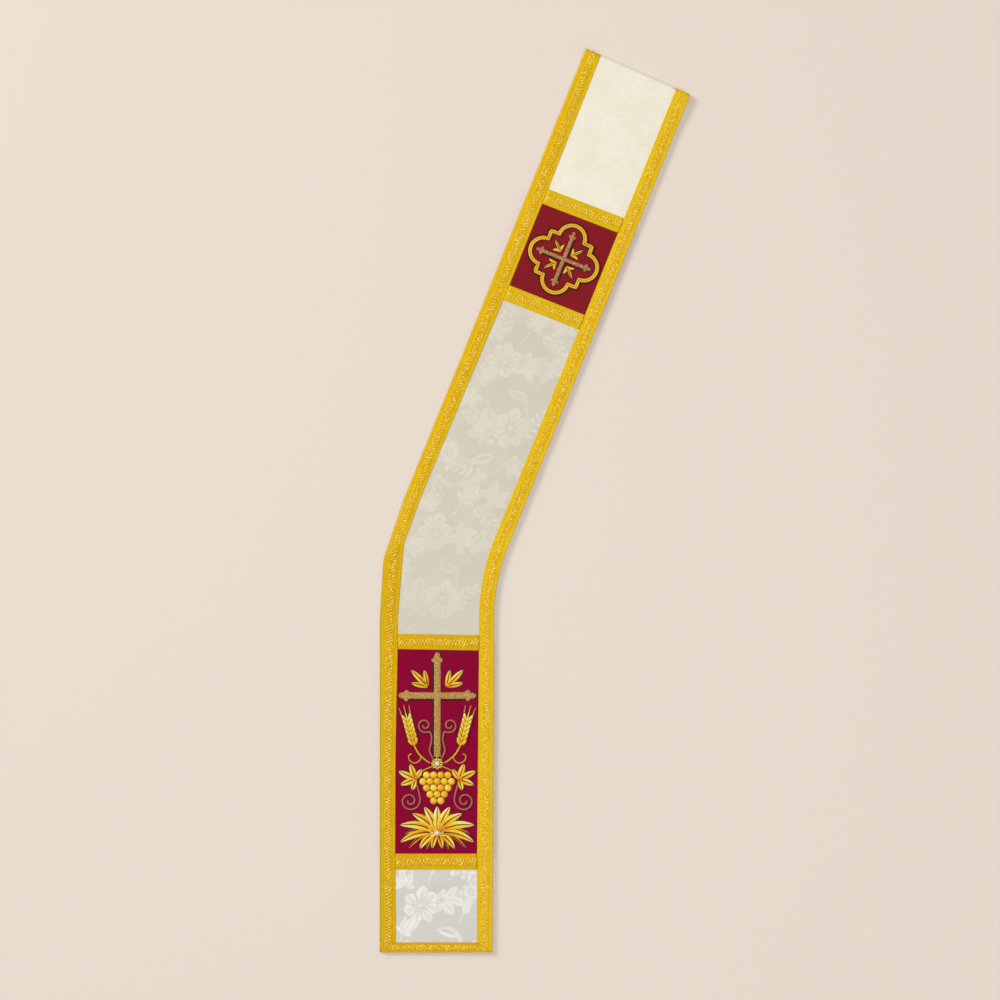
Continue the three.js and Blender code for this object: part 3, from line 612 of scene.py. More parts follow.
shoulder_rows = front_rows(band_edges, SEAMS[3] + GAP / 2, FOLD_AT - 6, FRONT_Z, 12)
between = lambda at: window_edges(at, GAP)
inner_turn = (FRONT_Z + RISE - CLOTH) / 2
shoulder_rows += fold_rows(between, inner_turn, inner_turn + CLOTH)
paths = {
    "damask_shoulder": rail(shoulder_rows),
    "damask_long": rail(front_rows(band_edges, SEAMS[1] + GAP / 2, SEAMS[2] - GAP / 2, FRONT_Z, 20)),
    "damask_hem": rail(front_rows(band_edges, 0.5, SEAMS[0] - GAP / 2, FRONT_Z))
}
for number, (name, path) in enumerate(paths.items()):
    length = path[-1, 0]
    step = 0.92 if name == "damask_long" else 0.75
    face = lambda a, s: CLOTH + fullness(a, s, length, number + 3)
    panel = strip_mesh(name, path, step, across_columns(step), face)
    if name == "damask_long":
        # Painted light: the long panel's figures are painted fainter towards the hip, where less sheen
        # shows them.
        weave_damask(panel, BEND, ((-110, -20, 60), (0.35, 0.7, 1)))
    else:
        weave_damask(panel, 0.0 if name == "damask_hem" else BEND)
    finish_piece(panel, front_cloth[name], "damask", name)

# The two crimson panels, of close-woven satin over a stiff interlining. They hardly
# give, because the embroidery is worked through to the backing.
def crimson_cloth(name, color):
    cloth, tree = new_material(name)
    cut = marked(tree, "cut")
    weave = node(tree, thread_weave, Vector=cut, Threads_per_mm=2.9, Slub=0.8)
    wear = node(tree, wear_and_glint_patch, Vector=cut, Patch_size_mm=34.0)
    deep, pale = ((*(c * k for c in linear(*color)[:3]), 1) for k in (0.8, 1.12))
    tone = mixed(tree, ranged(tree, weave.outputs["Yarn"], 0.36, 0.64), deep, pale)
    shaded(
        tree, Base_Color=worn(tree, tone, wear, (0.9, 0.88, 0.9)), Roughness=0.62,
        Normal=bumped(tree, weave, 0.35, 0.00008), Sheen_Weight=0.04, Sheen_Roughness=0.35,
        Sheen_Tint=(0.9, 0.2, 0.35, 1), Specular_IOR_Level=0.03
    )
    return cloth


for name, color, low, high in (
    ("crimson_lower", (148, 8, 56), SEAMS[0], SEAMS[1]),
    ("crimson_upper", (142, 32, 41), SEAMS[2], SEAMS[3])
):
    path = rail(front_rows(band_edges, low + GAP / 2, high - GAP / 2, FRONT_Z))
    face = lambda a, s: CLOTH + 0.12 * fullness(a, s, path[-1, 0], 9)
    panel = strip_mesh(name, path, 2, across_columns(2.0), face)
    finish_piece(panel, crimson_cloth(name + "_satin", color), "crimson", name)

# Galloon: a flat ribbon 19 mm wide, woven of gilt thread with three ribs along each
# border and a plaited middle. It is machined down along both edges, over the raw
# edges of the panels, and mitred at the hem and at the outside of the hip.
GALLOON, BORDER = 19.0, 4.3


def finish_group(tree, made, geometry, material):
    """Ends a Geometry Nodes tree: all of it real geometry, in one material."""
    whole = node(tree, "RealizeInstances", Geometry=geometry)
    connect(made, {0: node(tree, "SetMaterial", Geometry=whole, Material=material)})


def straight_line(tree, given, step):
    """Points from the origin along X, the given length, a step apart."""
    end = node(tree, "CombineXYZ", X=given["Length"])
    line = node(tree, "CurvePrimitiveLine", End=end)
    return node(tree, "ResampleCurve", Curve=line, Length=step, mode="LENGTH")


plait, given, made = new_group(
    "Geometry", "galloon_plait", Length=0.0, Reach=0.0, Pitch=0.0, Thread=0.0, Split=0.0,
    Gilt="Material"
)
tree = plait
line = straight_line(tree, given, sum_of(tree, "DIVIDE", given["Pitch"], 9.0))
x = node(tree, "SeparateXYZ", Vector=node(tree, "InputPosition")).outputs[0]
winding = sum_of(tree, "MULTIPLY", sum_of(tree, "DIVIDE", x, given["Pitch"]), 2 * math.pi)
ring = node(tree, "CurvePrimitiveCircle", Resolution=5, Radius=given["Thread"])
strands = node(tree, "JoinGeometry")
for phase in (0, math.pi * 2 / 3, math.pi * 4 / 3):
    for side in (-1.0, 1.0):
        angle = sum_of(tree, "ADD", winding, phase)
        swing = sum_of(tree, "MULTIPLY", sum_of(tree, "SINE", angle), given["Reach"])
        aside = sum_of(tree, "MULTIPLY_ADD", given["Split"], side, swing)
        over = sum_of(tree, "MULTIPLY_ADD", sum_of(tree, "COSINE", angle), 0.3, given["Thread"])
        lifted = node(tree, "CombineXYZ", X=x, Y=aside, Z=over)
        strand = node(tree, "SetPosition", Geometry=line, Position=lifted)
        tube = node(tree, "CurveToMesh", Curve=strand, Profile_Curve=ring, Fill_Caps=True)
        connect(strands, {0: tube})
finish_group(tree, made, strands, given["Gilt"])

stitch_row, given, made = new_group(
    "Geometry", "stitch_row", Length=0.0, Spacing=0.0, Thread=0.0, Beside=0.0, Yarn="Material"
)
tree = stitch_row
line = straight_line(tree, given, given["Spacing"])
stitch = node(tree, "MeshUVSphere", Segments=6, Rings=4, Radius=given["Thread"])
rows = node(tree, "JoinGeometry")
for side in (-1.0, 1.0):
    shift = node(tree, "CombineXYZ", Y=sum_of(tree, "MULTIPLY", given["Beside"], side))
    moved = node(tree, "SetPosition", Geometry=line, Offset=shift)
    sewn = node(tree, "InstanceOnPoints", Points=moved, Instance=stitch, Scale=(2.9, 1.0, 0.8))
    connect(rows, {0: sewn})
finish_group(tree, made, rows, given["Yarn"])


def grown(name, tree, values, base=None):
    """The plain mesh that a Geometry Nodes tree makes from a base and from values."""
    blank = placed(name, base or bpy.data.meshes.new(name))
    modifier = blank.modifiers.new(name, "NODES")
    modifier.node_group = tree
    for item in tree.interface.items_tree:
        if item.in_out == "INPUT" and item.name in values:
            modifier[item.identifier] = values[item.name]
    ready = blank.evaluated_get(bpy.context.evaluated_depsgraph_get())
    mesh = bpy.data.meshes.new_from_object(ready)
    blank.modifiers.remove(modifier)
    bpy.data.objects.remove(blank)
    mesh.name = name
    mesh.shade_smooth()
    return mesh


def laid_mesh(mesh, path, width, height, fold=0.0):
    """Lays a straight mesh along a strip. Its Y is across from the strip's middle, and
    it is pressed flat over the last stretch of it, the length of fold."""
    count = len(mesh.vertices)
    co = np.empty(count * 3)
    mesh.vertices.foreach_get("co", co)
    co = co.reshape(-1, 3)
    end = path[-1, 0] - fold
    if fold:
        co[:, 2] *= np.interp(co[:, 0], (end - 12, end), (1, 0.3))
    share = co[:, 1] / width + 0.5
    spot = lay(path, co[:, 0], share, co[:, 2] + height)
    mesh.vertices.foreach_set("co", spot.ravel())
    mark(mesh, "cut", co)
    mesh.update()


def cut_mitre(mesh, first, second, keep):
    """Cuts a mesh along the line between two points, and keeps one side of it."""
    a, b = ((np.array([*(p - MIDDLE), 0]) * 0.001) for p in (first, second))
    along = b - a
    normal = np.array([-along[1], along[0], 0])
    side = np.array([*(keep - MIDDLE), 0]) * 0.001 - a
    if normal @ side > 0:
        normal = -normal

    def cut_off(work):
        every = [*work.verts, *work.edges, *work.faces]
        bmesh.ops.bisect_plane(work, geom=every, plane_co=a, plane_no=normal, clear_outer=True)
        bmesh.ops.holes_fill(work, edges=[edge for edge in work.edges if edge.is_boundary])

    rework(mesh, cut_off)


def gilt_ribbon(name, ground, lighter_gilt_and_glint):
    """The flat of the galloon: ribbed borders, and a darker ground in the middle. The borders get
    painted glints: small random spots painted in the lighter gilt.
    """
    ribbon, tree = new_material(name)
    cut = marked(tree, "cut")
    weave = node(tree, thread_weave, Vector=cut, Threads_per_mm=1.7, Slub=1.2)
    wear = node(tree, wear_and_glint_patch, Vector=cut, Patch_size_mm=28.0)
    x, y, _ = node(tree, "SeparateXYZ", Vector=cut).outputs
    from_middle = sum_of(tree, "ABSOLUTE", sum_of(tree, "SUBTRACT", y, GALLOON / 2))
    twill = [sum_of(tree, way, x, y) for way in ("ADD", "SUBTRACT")]
    waves = [sum_of(tree, "MULTIPLY", slant, 2 * math.pi / 2.3) for slant in twill]
    diamond = sum_of(tree, "MULTIPLY", *(sum_of(tree, "SINE", wave) for wave in waves))
    low, high = linear(*ground), linear(*lighter_gilt_and_glint)
    full = mixed(tree, 0.5, low, high)
    centre = mixed(tree, ranged(tree, diamond, -0.7, 0.7), low, full)
    border = mixed(tree, ranged(tree, weave.outputs["Yarn"], 0.35, 0.65), low, full)
    # Painted highlight: random glints on the borders, mixed towards the lighter gilt.
    turn = node(tree, wear_and_glint_patch, Vector=cut, Patch_size_mm=2.0)
    border = mixed(tree, ranged(tree, turn, 0.5, 0.9, 0.0, 0.8), border, high)
    tone = mixed(tree, ranged(tree, from_middle, 4.4, 5.6), centre, border)
    shaded(
        tree, Base_Color=worn(tree, tone, wear, (0.9, 0.88, 0.84)), Roughness=0.5, Metallic=0.4,
        Normal=bumped(tree, weave, 0.5, 0.00014), Specular_IOR_Level=0.05
    )
    return ribbon


def plain_thread(name, color, roughness, metallic, painted_glint=None):
    """Gilt or silk thread, with the light and dark of its own twist in random patches.
    Gilt also gets painted glints: small random spots painted pale, as highlights."""
    thread, tree = new_material(name)
    cut = marked(tree, "cut")
    base = linear(*color)
    wear = node(tree, wear_and_glint_patch, Vector=cut, Patch_size_mm=3.0)
    tone = mixed(tree, wear, (base[0] * 0.92, base[1] * 0.7, 0.0, 1), base)
    if painted_glint:
        # Painted highlight: small random spots painted in the glint colour.
        turn = node(tree, wear_and_glint_patch, Vector=cut, Patch_size_mm=1.7)
        tone = mixed(tree, ranged(tree, turn, 0.58, 0.7), tone, linear(*painted_glint))
    shaded(tree, Base_Color=tone, Roughness=roughness, Metallic=metallic, Specular_IOR_Level=0.08)
    return thread


# Painted light: one galloon in three lit and shaded copies, painted lightest on the right side and the
# upper cross bands, a little darker on the upper left, and darkest at the hip, at the hem and on the
# back.
GILT = {
    "pale": gilt_ribbon("galloon_pale", (234, 190, 18), (253, 220, 40)),
    "bright": gilt_ribbon("galloon_bright", (227, 183, 10), (250, 213, 28)),
    "deep": gilt_ribbon("galloon_deep", (222, 178, 12), (243, 205, 26))
}
# The colour of the painted glints on the plait's gilt.
PAINTED_GLINT = (255, 252, 140)
lit_gilt = plain_thread("galloon_pale_gilt", (252, 216, 24), 0.42, 0.2, PAINTED_GLINT)
shaded_gilt = plain_thread("galloon_old_gilt", (247, 206, 20), 0.42, 0.2, PAINTED_GLINT)
sewing_thread = plain_thread("galloon_sewing_thread", (246, 204, 40), 0.6, 0.0)
RIBBED = np.r_[0, 0.25, 0.55, np.arange(0.85, BORDER + 0.1, 0.31)] / GALLOON
RIBBON_COLUMNS = np.r_[RIBBED, 0.3, 0.5, 0.7, 1 - RIBBED[::-1]]


def ribbon_lift(a, s):
    edge = np.minimum(s, 1 - s) * GALLOON
    ribs = 0.86 + 0.12 * np.cos(2 * np.pi * (edge - 0.85) / 1.24)
    body = np.where(edge < BORDER, ribs, 0.9)
    soft = 0.05 * np.sin(a / 7.3 + 1.3 * s) + 0.04 * np.sin(a / 3.1)
    return np.minimum(body, 0.3 + edge * 0.9) + soft


def lay_galloon(name, path, tint, mitres=()):
    """One length of galloon: its ribbon, its plaited middle and its stitching."""
    length = path[-1, 0]
    folded = length > 500 and "lower" not in name
    width = float(np.median(np.linalg.norm(path[:, 4:7] - path[:, 1:4], axis=1)))
    scale = width / GALLOON
    ribbon = strip_mesh(name, path, 2.5, RIBBON_COLUMNS, ribbon_lift)
    # The plait's thread is the lit or the shaded copy of one gilt, painted to match the ribbon's tint.
    braided = grown(name + "_plait", plait, {
        "Length": float(length), "Reach": 3.9 * scale, "Pitch": 11.5, "Thread": 0.44,
        "Split": 0.85 * scale, "Gilt": shaded_gilt if tint == "deep" else lit_gilt
    })
    sewn = grown(name + "_stitches", stitch_row, {
        "Length": float(length), "Spacing": 2.9, "Thread": 0.26, "Beside": width / 2 - 0.75,
        "Yarn": sewing_thread
    })
    for mesh, height in ((braided, 0.75), (sewn, 0.88)):
        laid_mesh(mesh, path, width, height, 28 if folded else 0)
    extras = [placed(mesh.name, mesh) for mesh in (braided, sewn)]
    for first, second, keep in mitres:
        for mesh in (ribbon.data, braided, sewn):
            cut_mitre(mesh, first, second, keep)
    finish_piece(ribbon, GILT[tint], "galloon", name)
    for extra in extras:
        finish_piece(extra, None, "galloon")


RIBBON_Z = TRIM_Z - 0.28
MITRE_INNER = np.array([-41.7, 33.0])
HEM_MITRES = {side: (band_edges(0)[side], window_edges(HEM_GALLOON)[side]) for side in (0, 1)}
ABOVE_HIP = BEND_END + 6


def side_sides(side):
    return lambda at: (band_edges(at)[side], window_edges(at)[side])


def top_rows(side, low):
    ribbon_turn = (TRIM_Z + RISE - CLOTH) / 2
    return front_rows(side_sides(side), low, FOLD_AT - 6, RIBBON_Z, 12) + fold_rows(
        side_sides(side), ribbon_turn, ribbon_turn + CLOTH, 0.7
    )


def run_on(start, outer, inner, reach):
    """Rows that go on in a straight line past a point, for the mitre to cut."""
    a, b = start
    ahead = [(outer - a) / np.linalg.norm(outer - a)]
    ahead.append((inner - b) / np.linalg.norm(inner - b))
    return [(a + ahead[0] * t, b + ahead[1] * t, RIBBON_Z, UP) for t in np.linspace(0, reach, 12)]


hip = (HIP_CORNER, MITRE_INNER)
upper = run_on(side_sides(0)(ABOVE_HIP), *hip, 130)[::-1][:-1] + top_rows(0, ABOVE_HIP)
lay_galloon("galloon_left_upper", rail(upper), "bright", [(*hip, band_edges(FOLD_AT)[0])])
lower = front_rows(side_sides(0), 0, BEND_START, RIBBON_Z)
lower += run_on(side_sides(0)(BEND_START), *hip, 110)[1:]
mitres = [(*hip, band_edges(0)[0]), (*HEM_MITRES[0], HIP_CORNER)]
lay_galloon("galloon_left_lower", rail(lower), "deep", mitres)
right = front_rows(side_sides(1), 0, ABOVE_HIP, RIBBON_Z, 20)[:-1] + top_rows(1, ABOVE_HIP)
lay_galloon("galloon_right", rail(right), "pale", [(*HEM_MITRES[1], band_edges(BEND_START)[1])])
hem = list(zip(band_edges(0), band_edges(HEM_GALLOON)))
mitres = [(*HEM_MITRES[side], (hem[0][0] + hem[1][0]) / 2) for side in (0, 1)]
lay_galloon("galloon_hem", rail([(*ends, RIBBON_Z, UP) for ends in hem]), "deep", mitres)
for name, low, high, skew in CROSS_BANDS:
    bottom, top = window_edges(low, 0.1, skew), window_edges(high, 0.1, skew)
    rows = [(bottom[k], top[k], RIBBON_Z, UP) for k in (0, 1)]
    lay_galloon(name, rail(rows), "pale" if low > 800 else "deep")

back_lengths = {}
for k, side in enumerate(("left", "right")):
    path = back_rail(side_sides(k))
    back_lengths[side] = (path, 6, GALLOON / 1000, path[-1, 0] / 1000)
hem_rows = [(high, low) for low, high in reversed(hem)]
back_lengths["hem"] = (face_down(hem_rows), 4.6, HEM_GALLOON / 1000, 0.139)
for side, (path, step, width, length) in back_lengths.items():
    name = "back_galloon_" + side
    strip = strip_mesh(name, path, step, np.linspace(0, 1, 12), plain_face)
    finish_piece(strip, GILT["deep"], "galloon", name)

# The medallion on the upper crimson panel: a barbed quatrefoil of two pale gilt cords
# couched side by side, round a cross of bullion chips with a satin spray in each
# corner. Dark silk under and round every shape sets it off from the crimson.
STITCH_Z, RELIEF_Z = FRONT_Z + CLOTH - 0.05, TRIM_Z
DARK_RIM, VEIN = 0.65, 0.3


def window_spot(low, high, turn):
    """The middle of a panel's window, and how far the panel is turned."""
    corners = [*window_edges(low[0], 0, low[1]), *window_edges(high[0], 0, high[1])]
    return sum(corners) / 4, turn


def sewn_at(spot, flat, up):
    """Moves points drawn about the middle of a window to where they are sewn."""
    middle, turn = spot
    side = np.array([math.cos(turn), -math.sin(turn)])
    ahead = np.array([math.sin(turn), math.cos(turn)])
    moved = middle - MIDDLE + flat[:, :1] * side + flat[:, 1:] * ahead
    return np.c_[moved, up] * 0.001


def run_of(line):
    return np.r_[0, np.cumsum(np.linalg.norm(np.diff(line, axis=0), axis=1))]


def beside(line, distance, closed=False):
    """A line beside a line of points, mitred at its corners."""
    if closed:
        before, after = line - np.roll(line, 1, 0), np.roll(line, -1, 0) - line
    else:
        steps = np.diff(line, axis=0)
        before, after = np.r_[steps[:1], steps], np.r_[steps, steps[-1:]]
    before = before / np.linalg.norm(before, axis=1)[:, None]
    after = after / np.linalg.norm(after, axis=1)[:, None]
    along = before + after
    along /= np.linalg.norm(along, axis=1)[:, None]
    reach = distance / np.maximum((along * after).sum(1), 0.6)
    return line + np.c_[-along[:, 1], along[:, 0]] * np.reshape(reach, (-1, 1))


def petal_line(root, angle, length, bow=0.0, count=22):
    """From a root outward, at an angle from straight up, bowed to one side."""
    share = np.linspace(0, 1, count)
    x, y = bow * np.sin(np.pi * share), length * share
    return np.c_[turned(x, y, math.radians(angle))] + root


def stroke_width(widths, share):
    """Width at the start, middle and end of a stroke, swelling between them."""
    start, middle, end = widths if len(widths) == 3 else widths * 3
    straight = start + (end - start) * share
    return straight + (middle - straight) * np.sin(np.pi * share) ** 0.75


class Needlework:
    """The stitched shapes of one piece. Each is a closed skin, and every point of it
    keeps its place along and across the threads, and how light its silk is, with painted shade and
    highlights added in."""

    def __init__(self, spot, seed):
        self.spot, self.rng, self.count = spot, np.random.default_rng(seed), 0
        self.co, self.faces, self.threads, self.tones, self.silks = [], [], [], [], []

    def skin(self, flat, up, along, across, tone, silk):
        """Joins sections of a shape: each row of points goes once round it."""
        rows, around = up.shape
        number = self.count + np.arange(rows * around).reshape(rows, around)
        faces = joined(number)
        self.faces += faces
        self.silks += [silk] * len(faces)
        self.co.append(sewn_at(self.spot, flat.reshape(-1, 2), up.ravel()))
        own = np.full(up.size, self.rng.uniform(0, 40))
        self.threads.append(np.c_[along.ravel(), across.ravel(), own])
        self.tones.append(tone.ravel())
        self.count += rows * around

    def across_line(self, line, across, up, tone, silk):
        """A skin along a line, whose columns lie across it at the given distances."""
        columns = across.shape[1]
        flat = np.stack([beside(line, -across[:, k]) for k in range(columns)], 1)
        up[:, [0, -1]] = STITCH_Z
        run = np.repeat(run_of(line)[:, None], columns, 1)
        self.skin(flat, up, run, across, tone, silk)

    def padding(self, line, half, lift):
        """Dark silk laid under a shape, a little wider than it all round."""
        up = STITCH_Z + np.array([0, 0.24, 0.38, 0.38, 0.24, 0]) + lift[:, None]
        across = (half[:, None] + DARK_RIM) * np.array([-1, -0.97, -0.8, 0.8, 0.97, 1])
        self.across_line(line, across, up, np.zeros(up.shape), 1)

    def satin(self, line, widths, height, tones, lift=0.0, split=True, rim=True):
        """A satin stitch shape over padding, in two halves along a vein if split.
        tones are how light its silk is at the root and at the tip, and lift is how
        far it is raised over other shapes, at one height or at root and tip."""
        share = np.linspace(0, 1, len(line))
        lift = np.interp(share, (0, 1), np.ravel(lift)[[0, -1]])
        half = stroke_width(widths, share) / 2
        if rim:
            ends = np.array([line[0] * 1.5 - line[1] / 2, line[-1] * 1.5 - line[-2] / 2])
            longer = np.r_[ends[:1], line[1:-1], ends[1:]]
            self.padding(longer, half, lift)
        swell = height * np.minimum(1, 2.4 * half / max(widths) + 0.25)
        t = np.array([0, 0.05, 0.18, 0.36, 0.55, 0.74, 0.9, 0.97, 1.0])
        dome = np.sin(np.pi * t) ** 0.55
        # Painted shade: the satin is painted darker along both its edges, where the thread dives into
        # the cloth.
        edge = np.array([0.3, 0.12, 0, 0, 0, 0, 0.03, 0.25, 0.4])
        vein = np.minimum(VEIN, half * 0.3)[:, None]
        lean = self.rng.uniform(-0.06, 0.06)
        for side in (-1, 1) if split else (0,):
            if split:
                across = side * (vein + (half[:, None] - vein) * t)
            else:
                across = half[:, None] * (2 * t - 1)
            up = RELIEF_Z - 0.2 + lift[:, None] + swell[:, None] * dome
            tone = tones[0] + (tones[1] - tones[0]) * share[:, None] ** 0.8
            self.across_line(line, across, up, tone + lean - 0.13 * side - edge, 0)

    def boss(self, x, y, radius, height, tone):
        """A round padded spot, with its thread wound from the rim to the middle."""
        angle = np.linspace(0, 2 * np.pi, 20, endpoint=False)
        for wide, tall, silk in ((radius + DARK_RIM, 0.4, 1), (radius, height, 0)):
            lean = np.array([0, 0.02, 0.3, 0.6, 0.9, 1.2, 1.45])
            reach = wide * np.cos(lean)[:, None]
            flat = np.stack([x + reach * np.cos(angle), y + reach * np.sin(angle)], -1)
            foot = STITCH_Z if silk else RELIEF_Z - 0.2
            up = foot + tall * np.sin(lean)[:, None] + 0 * angle
            up[0] = STITCH_Z
            # Painted highlight: each spot is painted lighter on its upper left and darker on its lower
            # right, most at the rim.
            light = 0.16 * np.cos(angle - 2.2) * np.cos(lean)[:, None]
            along = wide - reach + 0 * angle
            self.skin(flat, up, along, 0 * along, tone + light, silk)

    def piece(self, name, satin=None, slot="gold_thread"):
        mesh = bpy.data.meshes.new(name)
        mesh.from_pydata(np.concatenate(self.co).tolist(), [], self.faces)
        mark(mesh, "thread", np.concatenate(self.threads))
        mark(mesh, "tone", np.concatenate(self.tones))
        rework(mesh, turn_out)
        made = finish_piece(placed(name, mesh), satin or gold_satin, slot, name)
        mesh.materials.append(dark_silk)
        mesh.polygons.foreach_set("material_index", self.silks)
        mesh.shade_smooth()
        return made


# Laid threads side by side, slanting away from the vein: a height, and a shade for each
satin_stitch, given, made = new_group(
    "Shader", "satin_stitch", ("Height", "Strand"), Vector="Vector", Threads_per_mm=2.2, Slant=0.7
)
tree = satin_stitch
x, y, number = node(tree, "SeparateXYZ", Vector=given["Vector"]).outputs
slanted = sum_of(tree, "MULTIPLY_ADD", sum_of(tree, "ABSOLUTE", y), given["Slant"], x)
phase = sum_of(tree, "MULTIPLY", slanted, given["Threads per mm"])
wave = sum_of(tree, "SINE", sum_of(tree, "MULTIPLY", phase, math.pi))
own = sum_of(tree, "ADD", sum_of(tree, "FLOOR", phase), sum_of(tree, "FLOOR", number))
strand = node(tree, "TexWhiteNoise", W=own, noise_dimensions="1D")
connect(made, {"Height": sum_of(tree, "ABSOLUTE", wave), "Strand": strand})


def ramp_of(tree, value, stops):
    """Colours that follow a value: each stop is its place and its screen colour."""
    ramp = node(tree, "ValToRGB", Fac=value)
    while len(ramp.color_ramp.elements) < len(stops):
        ramp.color_ramp.elements.new(0.5)
    for element, (place, color) in zip(ramp.color_ramp.elements, stops):
        element.position, element.color = place, linear(*color)
    return ramp


def silk_satin(name, stops, roughness, metallic):
    """Stitched silk and gilt: its colour runs through the stops, dark to light."""
    silk, tree = new_material(name)
    laid = node(tree, satin_stitch, Vector=marked(tree, "thread"))
    shade = sum_of(tree, "MULTIPLY_ADD", laid.outputs["Strand"], 0.2, -0.1)
    shade = sum_of(tree, "ADD", shade, marked(tree, "tone", "Fac"))
    shaded(
        tree, Base_Color=ramp_of(tree, shade, stops), Roughness=roughness, Metallic=metallic,
        Specular_IOR_Level=0.25, Normal=bumped(tree, laid, 0.45, 0.0001)
    )
    return silk


gold_satin = silk_satin(
    "gold_satin",
    (
        (0.0, (118, 50, 16)), (0.18, (212, 118, 24)), (0.38, (240, 174, 24)), (0.6, (246, 208, 50)),
        (0.84, (250, 230, 112)), (1.0, (254, 246, 196))
    ),
    0.42, 0.1
)
dark_silk = silk_satin("dark_outline_silk", ((0.0, (58, 18, 20)), (1.0, (84, 34, 26))), 0.6, 0.0)
bullion_bed = silk_satin("bullion_bed_silk", ((0.0, (150, 104, 66)), (1.0, (178, 130, 84))), 0.6, 0.0)

wound_cord, given, made = new_group(
    "Geometry", "wound_cord", Geometry="Geometry", Radius=0.0, Sides="Int", Yarn="Material"
)
tree = wound_cord
path = node(tree, "MeshToCurve", Mesh=given["Geometry"])
run = node(tree, "SplineParameter").outputs["Length"]
marked_path = node(tree, "StoreNamedAttribute", Geometry=path, Name="run", Value=run, domain="POINT")
ring = node(tree, "CurvePrimitiveCircle", Resolution=given["Sides"], Radius=given["Radius"])
marked_ring = node(
    tree, "StoreNamedAttribute", Geometry=ring, Name="round", Value=node(tree, "InputPosition"),
    data_type="FLOAT_VECTOR", domain="POINT"
)
tube = node(tree, "CurveToMesh", Curve=marked_path, Profile_Curve=marked_ring, Fill_Caps=True)
finish_group(tree, made, tube, given["Yarn"])

cord_twist, given, made = new_group(
    "Shader", "cord_twist", ("Height",), Round="Vector", Run=0.0, Pitch=0.0028
)
tree = cord_twist
x, y, _ = node(tree, "SeparateXYZ", Vector=given["Round"]).outputs
turns = sum_of(tree, "DIVIDE", given["Run"], given["Pitch"])
wound = sum_of(tree, "MULTIPLY", turns, 2 * math.pi)
wave = sum_of(tree, "SINE", sum_of(tree, "ADD", sum_of(tree, "ARCTAN2", y, x), wound))
connect(made, {"Height": sum_of(tree, "MULTIPLY_ADD", wave, 0.5, 0.5)})


def cord_yarn(name, light, dark, pitch, metallic):
    """Cord of two plies: light on the plies, and painted shade, a darker colour, in the lay between
    them.
    """
    yarn, tree = new_material(name)
    run, around = marked(tree, "run", "Fac"), marked(tree, "round")
    twist = node(tree, cord_twist, Run=run, Round=around, Pitch=pitch)
    shaded(
        tree, Base_Color=mixed(tree, twist, linear(*dark), linear(*light)), Roughness=0.42,
        Specular_IOR_Level=0.25, Metallic=metallic, Normal=bumped(tree, twist, 0.5, 0.0003)
    )
    return yarn


pale_cord = cord_yarn("pale_gilt_cord", (252, 214, 64), (220, 164, 22), 0.0026, 0.2)
antique_cord = cord_yarn("antique_cord", (196, 152, 112), (122, 74, 52), 0.0024, 0.15)
# Dark cord for outlines, and for the painted shadows laid under the curls and stems.
dark_cord = cord_yarn("dark_outline_and_shadow_cord", (64, 24, 22), (38, 12, 14), 0.002, 0.0)
gold_cord = cord_yarn("gold_stem_cord", (240, 190, 52), (178, 116, 20), 0.0024, 0.2)


def couched(name, spot, lines, radius, yarn, up, slot="gold_thread", nodes=(), closed=False):
    """Cord laid along lines on a panel, which the stitches over it hold down."""
    co, edges = [], []
    for line in lines:
        first, count = len(co), len(line)
        co += sewn_at(spot, np.asarray(line), np.full(count, up)).tolist()
        edges += [(first + k, first + k + 1) for k in range(count - 1)]
        if closed:
            edges.append((first + count - 1, first))
    base = bpy.data.meshes.new(name)
    base.from_pydata(co, edges, [])
    mesh = grown(name, wound_cord, {"Radius": radius * 0.001, "Sides": 10, "Yarn": yarn}, base)
    finish_piece(placed(name, mesh), yarn, slot, *nodes)


bullion_chips, given, made = new_group(
    "Geometry", "bullion_chips", Geometry="Geometry", Chip_length=0.0, Chip_width=0.0, Spacing=0.0,
    Seed="Int", Bullion="Material"
)
tree = bullion_chips
facing = node(tree, "SeparateXYZ", Vector=node(tree, "InputNormal")).outputs[2]
spots = node(
    tree, "DistributePointsOnFaces", {"Distance Min": given["Spacing"], "Density Max": 4e6},
    Mesh=given["Geometry"], Selection=sum_of(tree, "GREATER_THAN", facing, 0.25), Seed=given["Seed"],
    distribute_method="POISSON"
)
spin = node(tree, "RandomValue", Min=0.0, Max=3.14, Seed=given["Seed"]).outputs[1]
spin = node(tree, "AxisAngleToRotation", Axis=(0, 0, 1), Angle=spin)
turn = node(
    tree, "RotateRotation", Rotation=spots.outputs["Rotation"], Rotate_By=spin, rotation_space="LOCAL"
)
chip = node(tree, "MeshUVSphere", Segments=6, Rings=4, Radius=0.5)
size = node(tree, "CombineXYZ", X=given["Chip length"], Y=given["Chip width"], Z=given["Chip width"])
laid = node(tree, "InstanceOnPoints", Points=spots, Instance=chip, Rotation=turn, Scale=size)
shade = node(tree, "RandomValue", Seed=sum_of(tree, "ADD", given["Seed"], 1.0)).outputs[1]
toned = node(tree, "StoreNamedAttribute", Geometry=laid, Name="tone", Value=shade, domain="INSTANCE")
finish_group(tree, made, toned, given["Bullion"])


def noise_on_object(tree, scale, **more):
    place = node(tree, "TexCoord").outputs["Object"]
    return node(tree, "TexNoise", Vector=place, Scale=scale, **more)


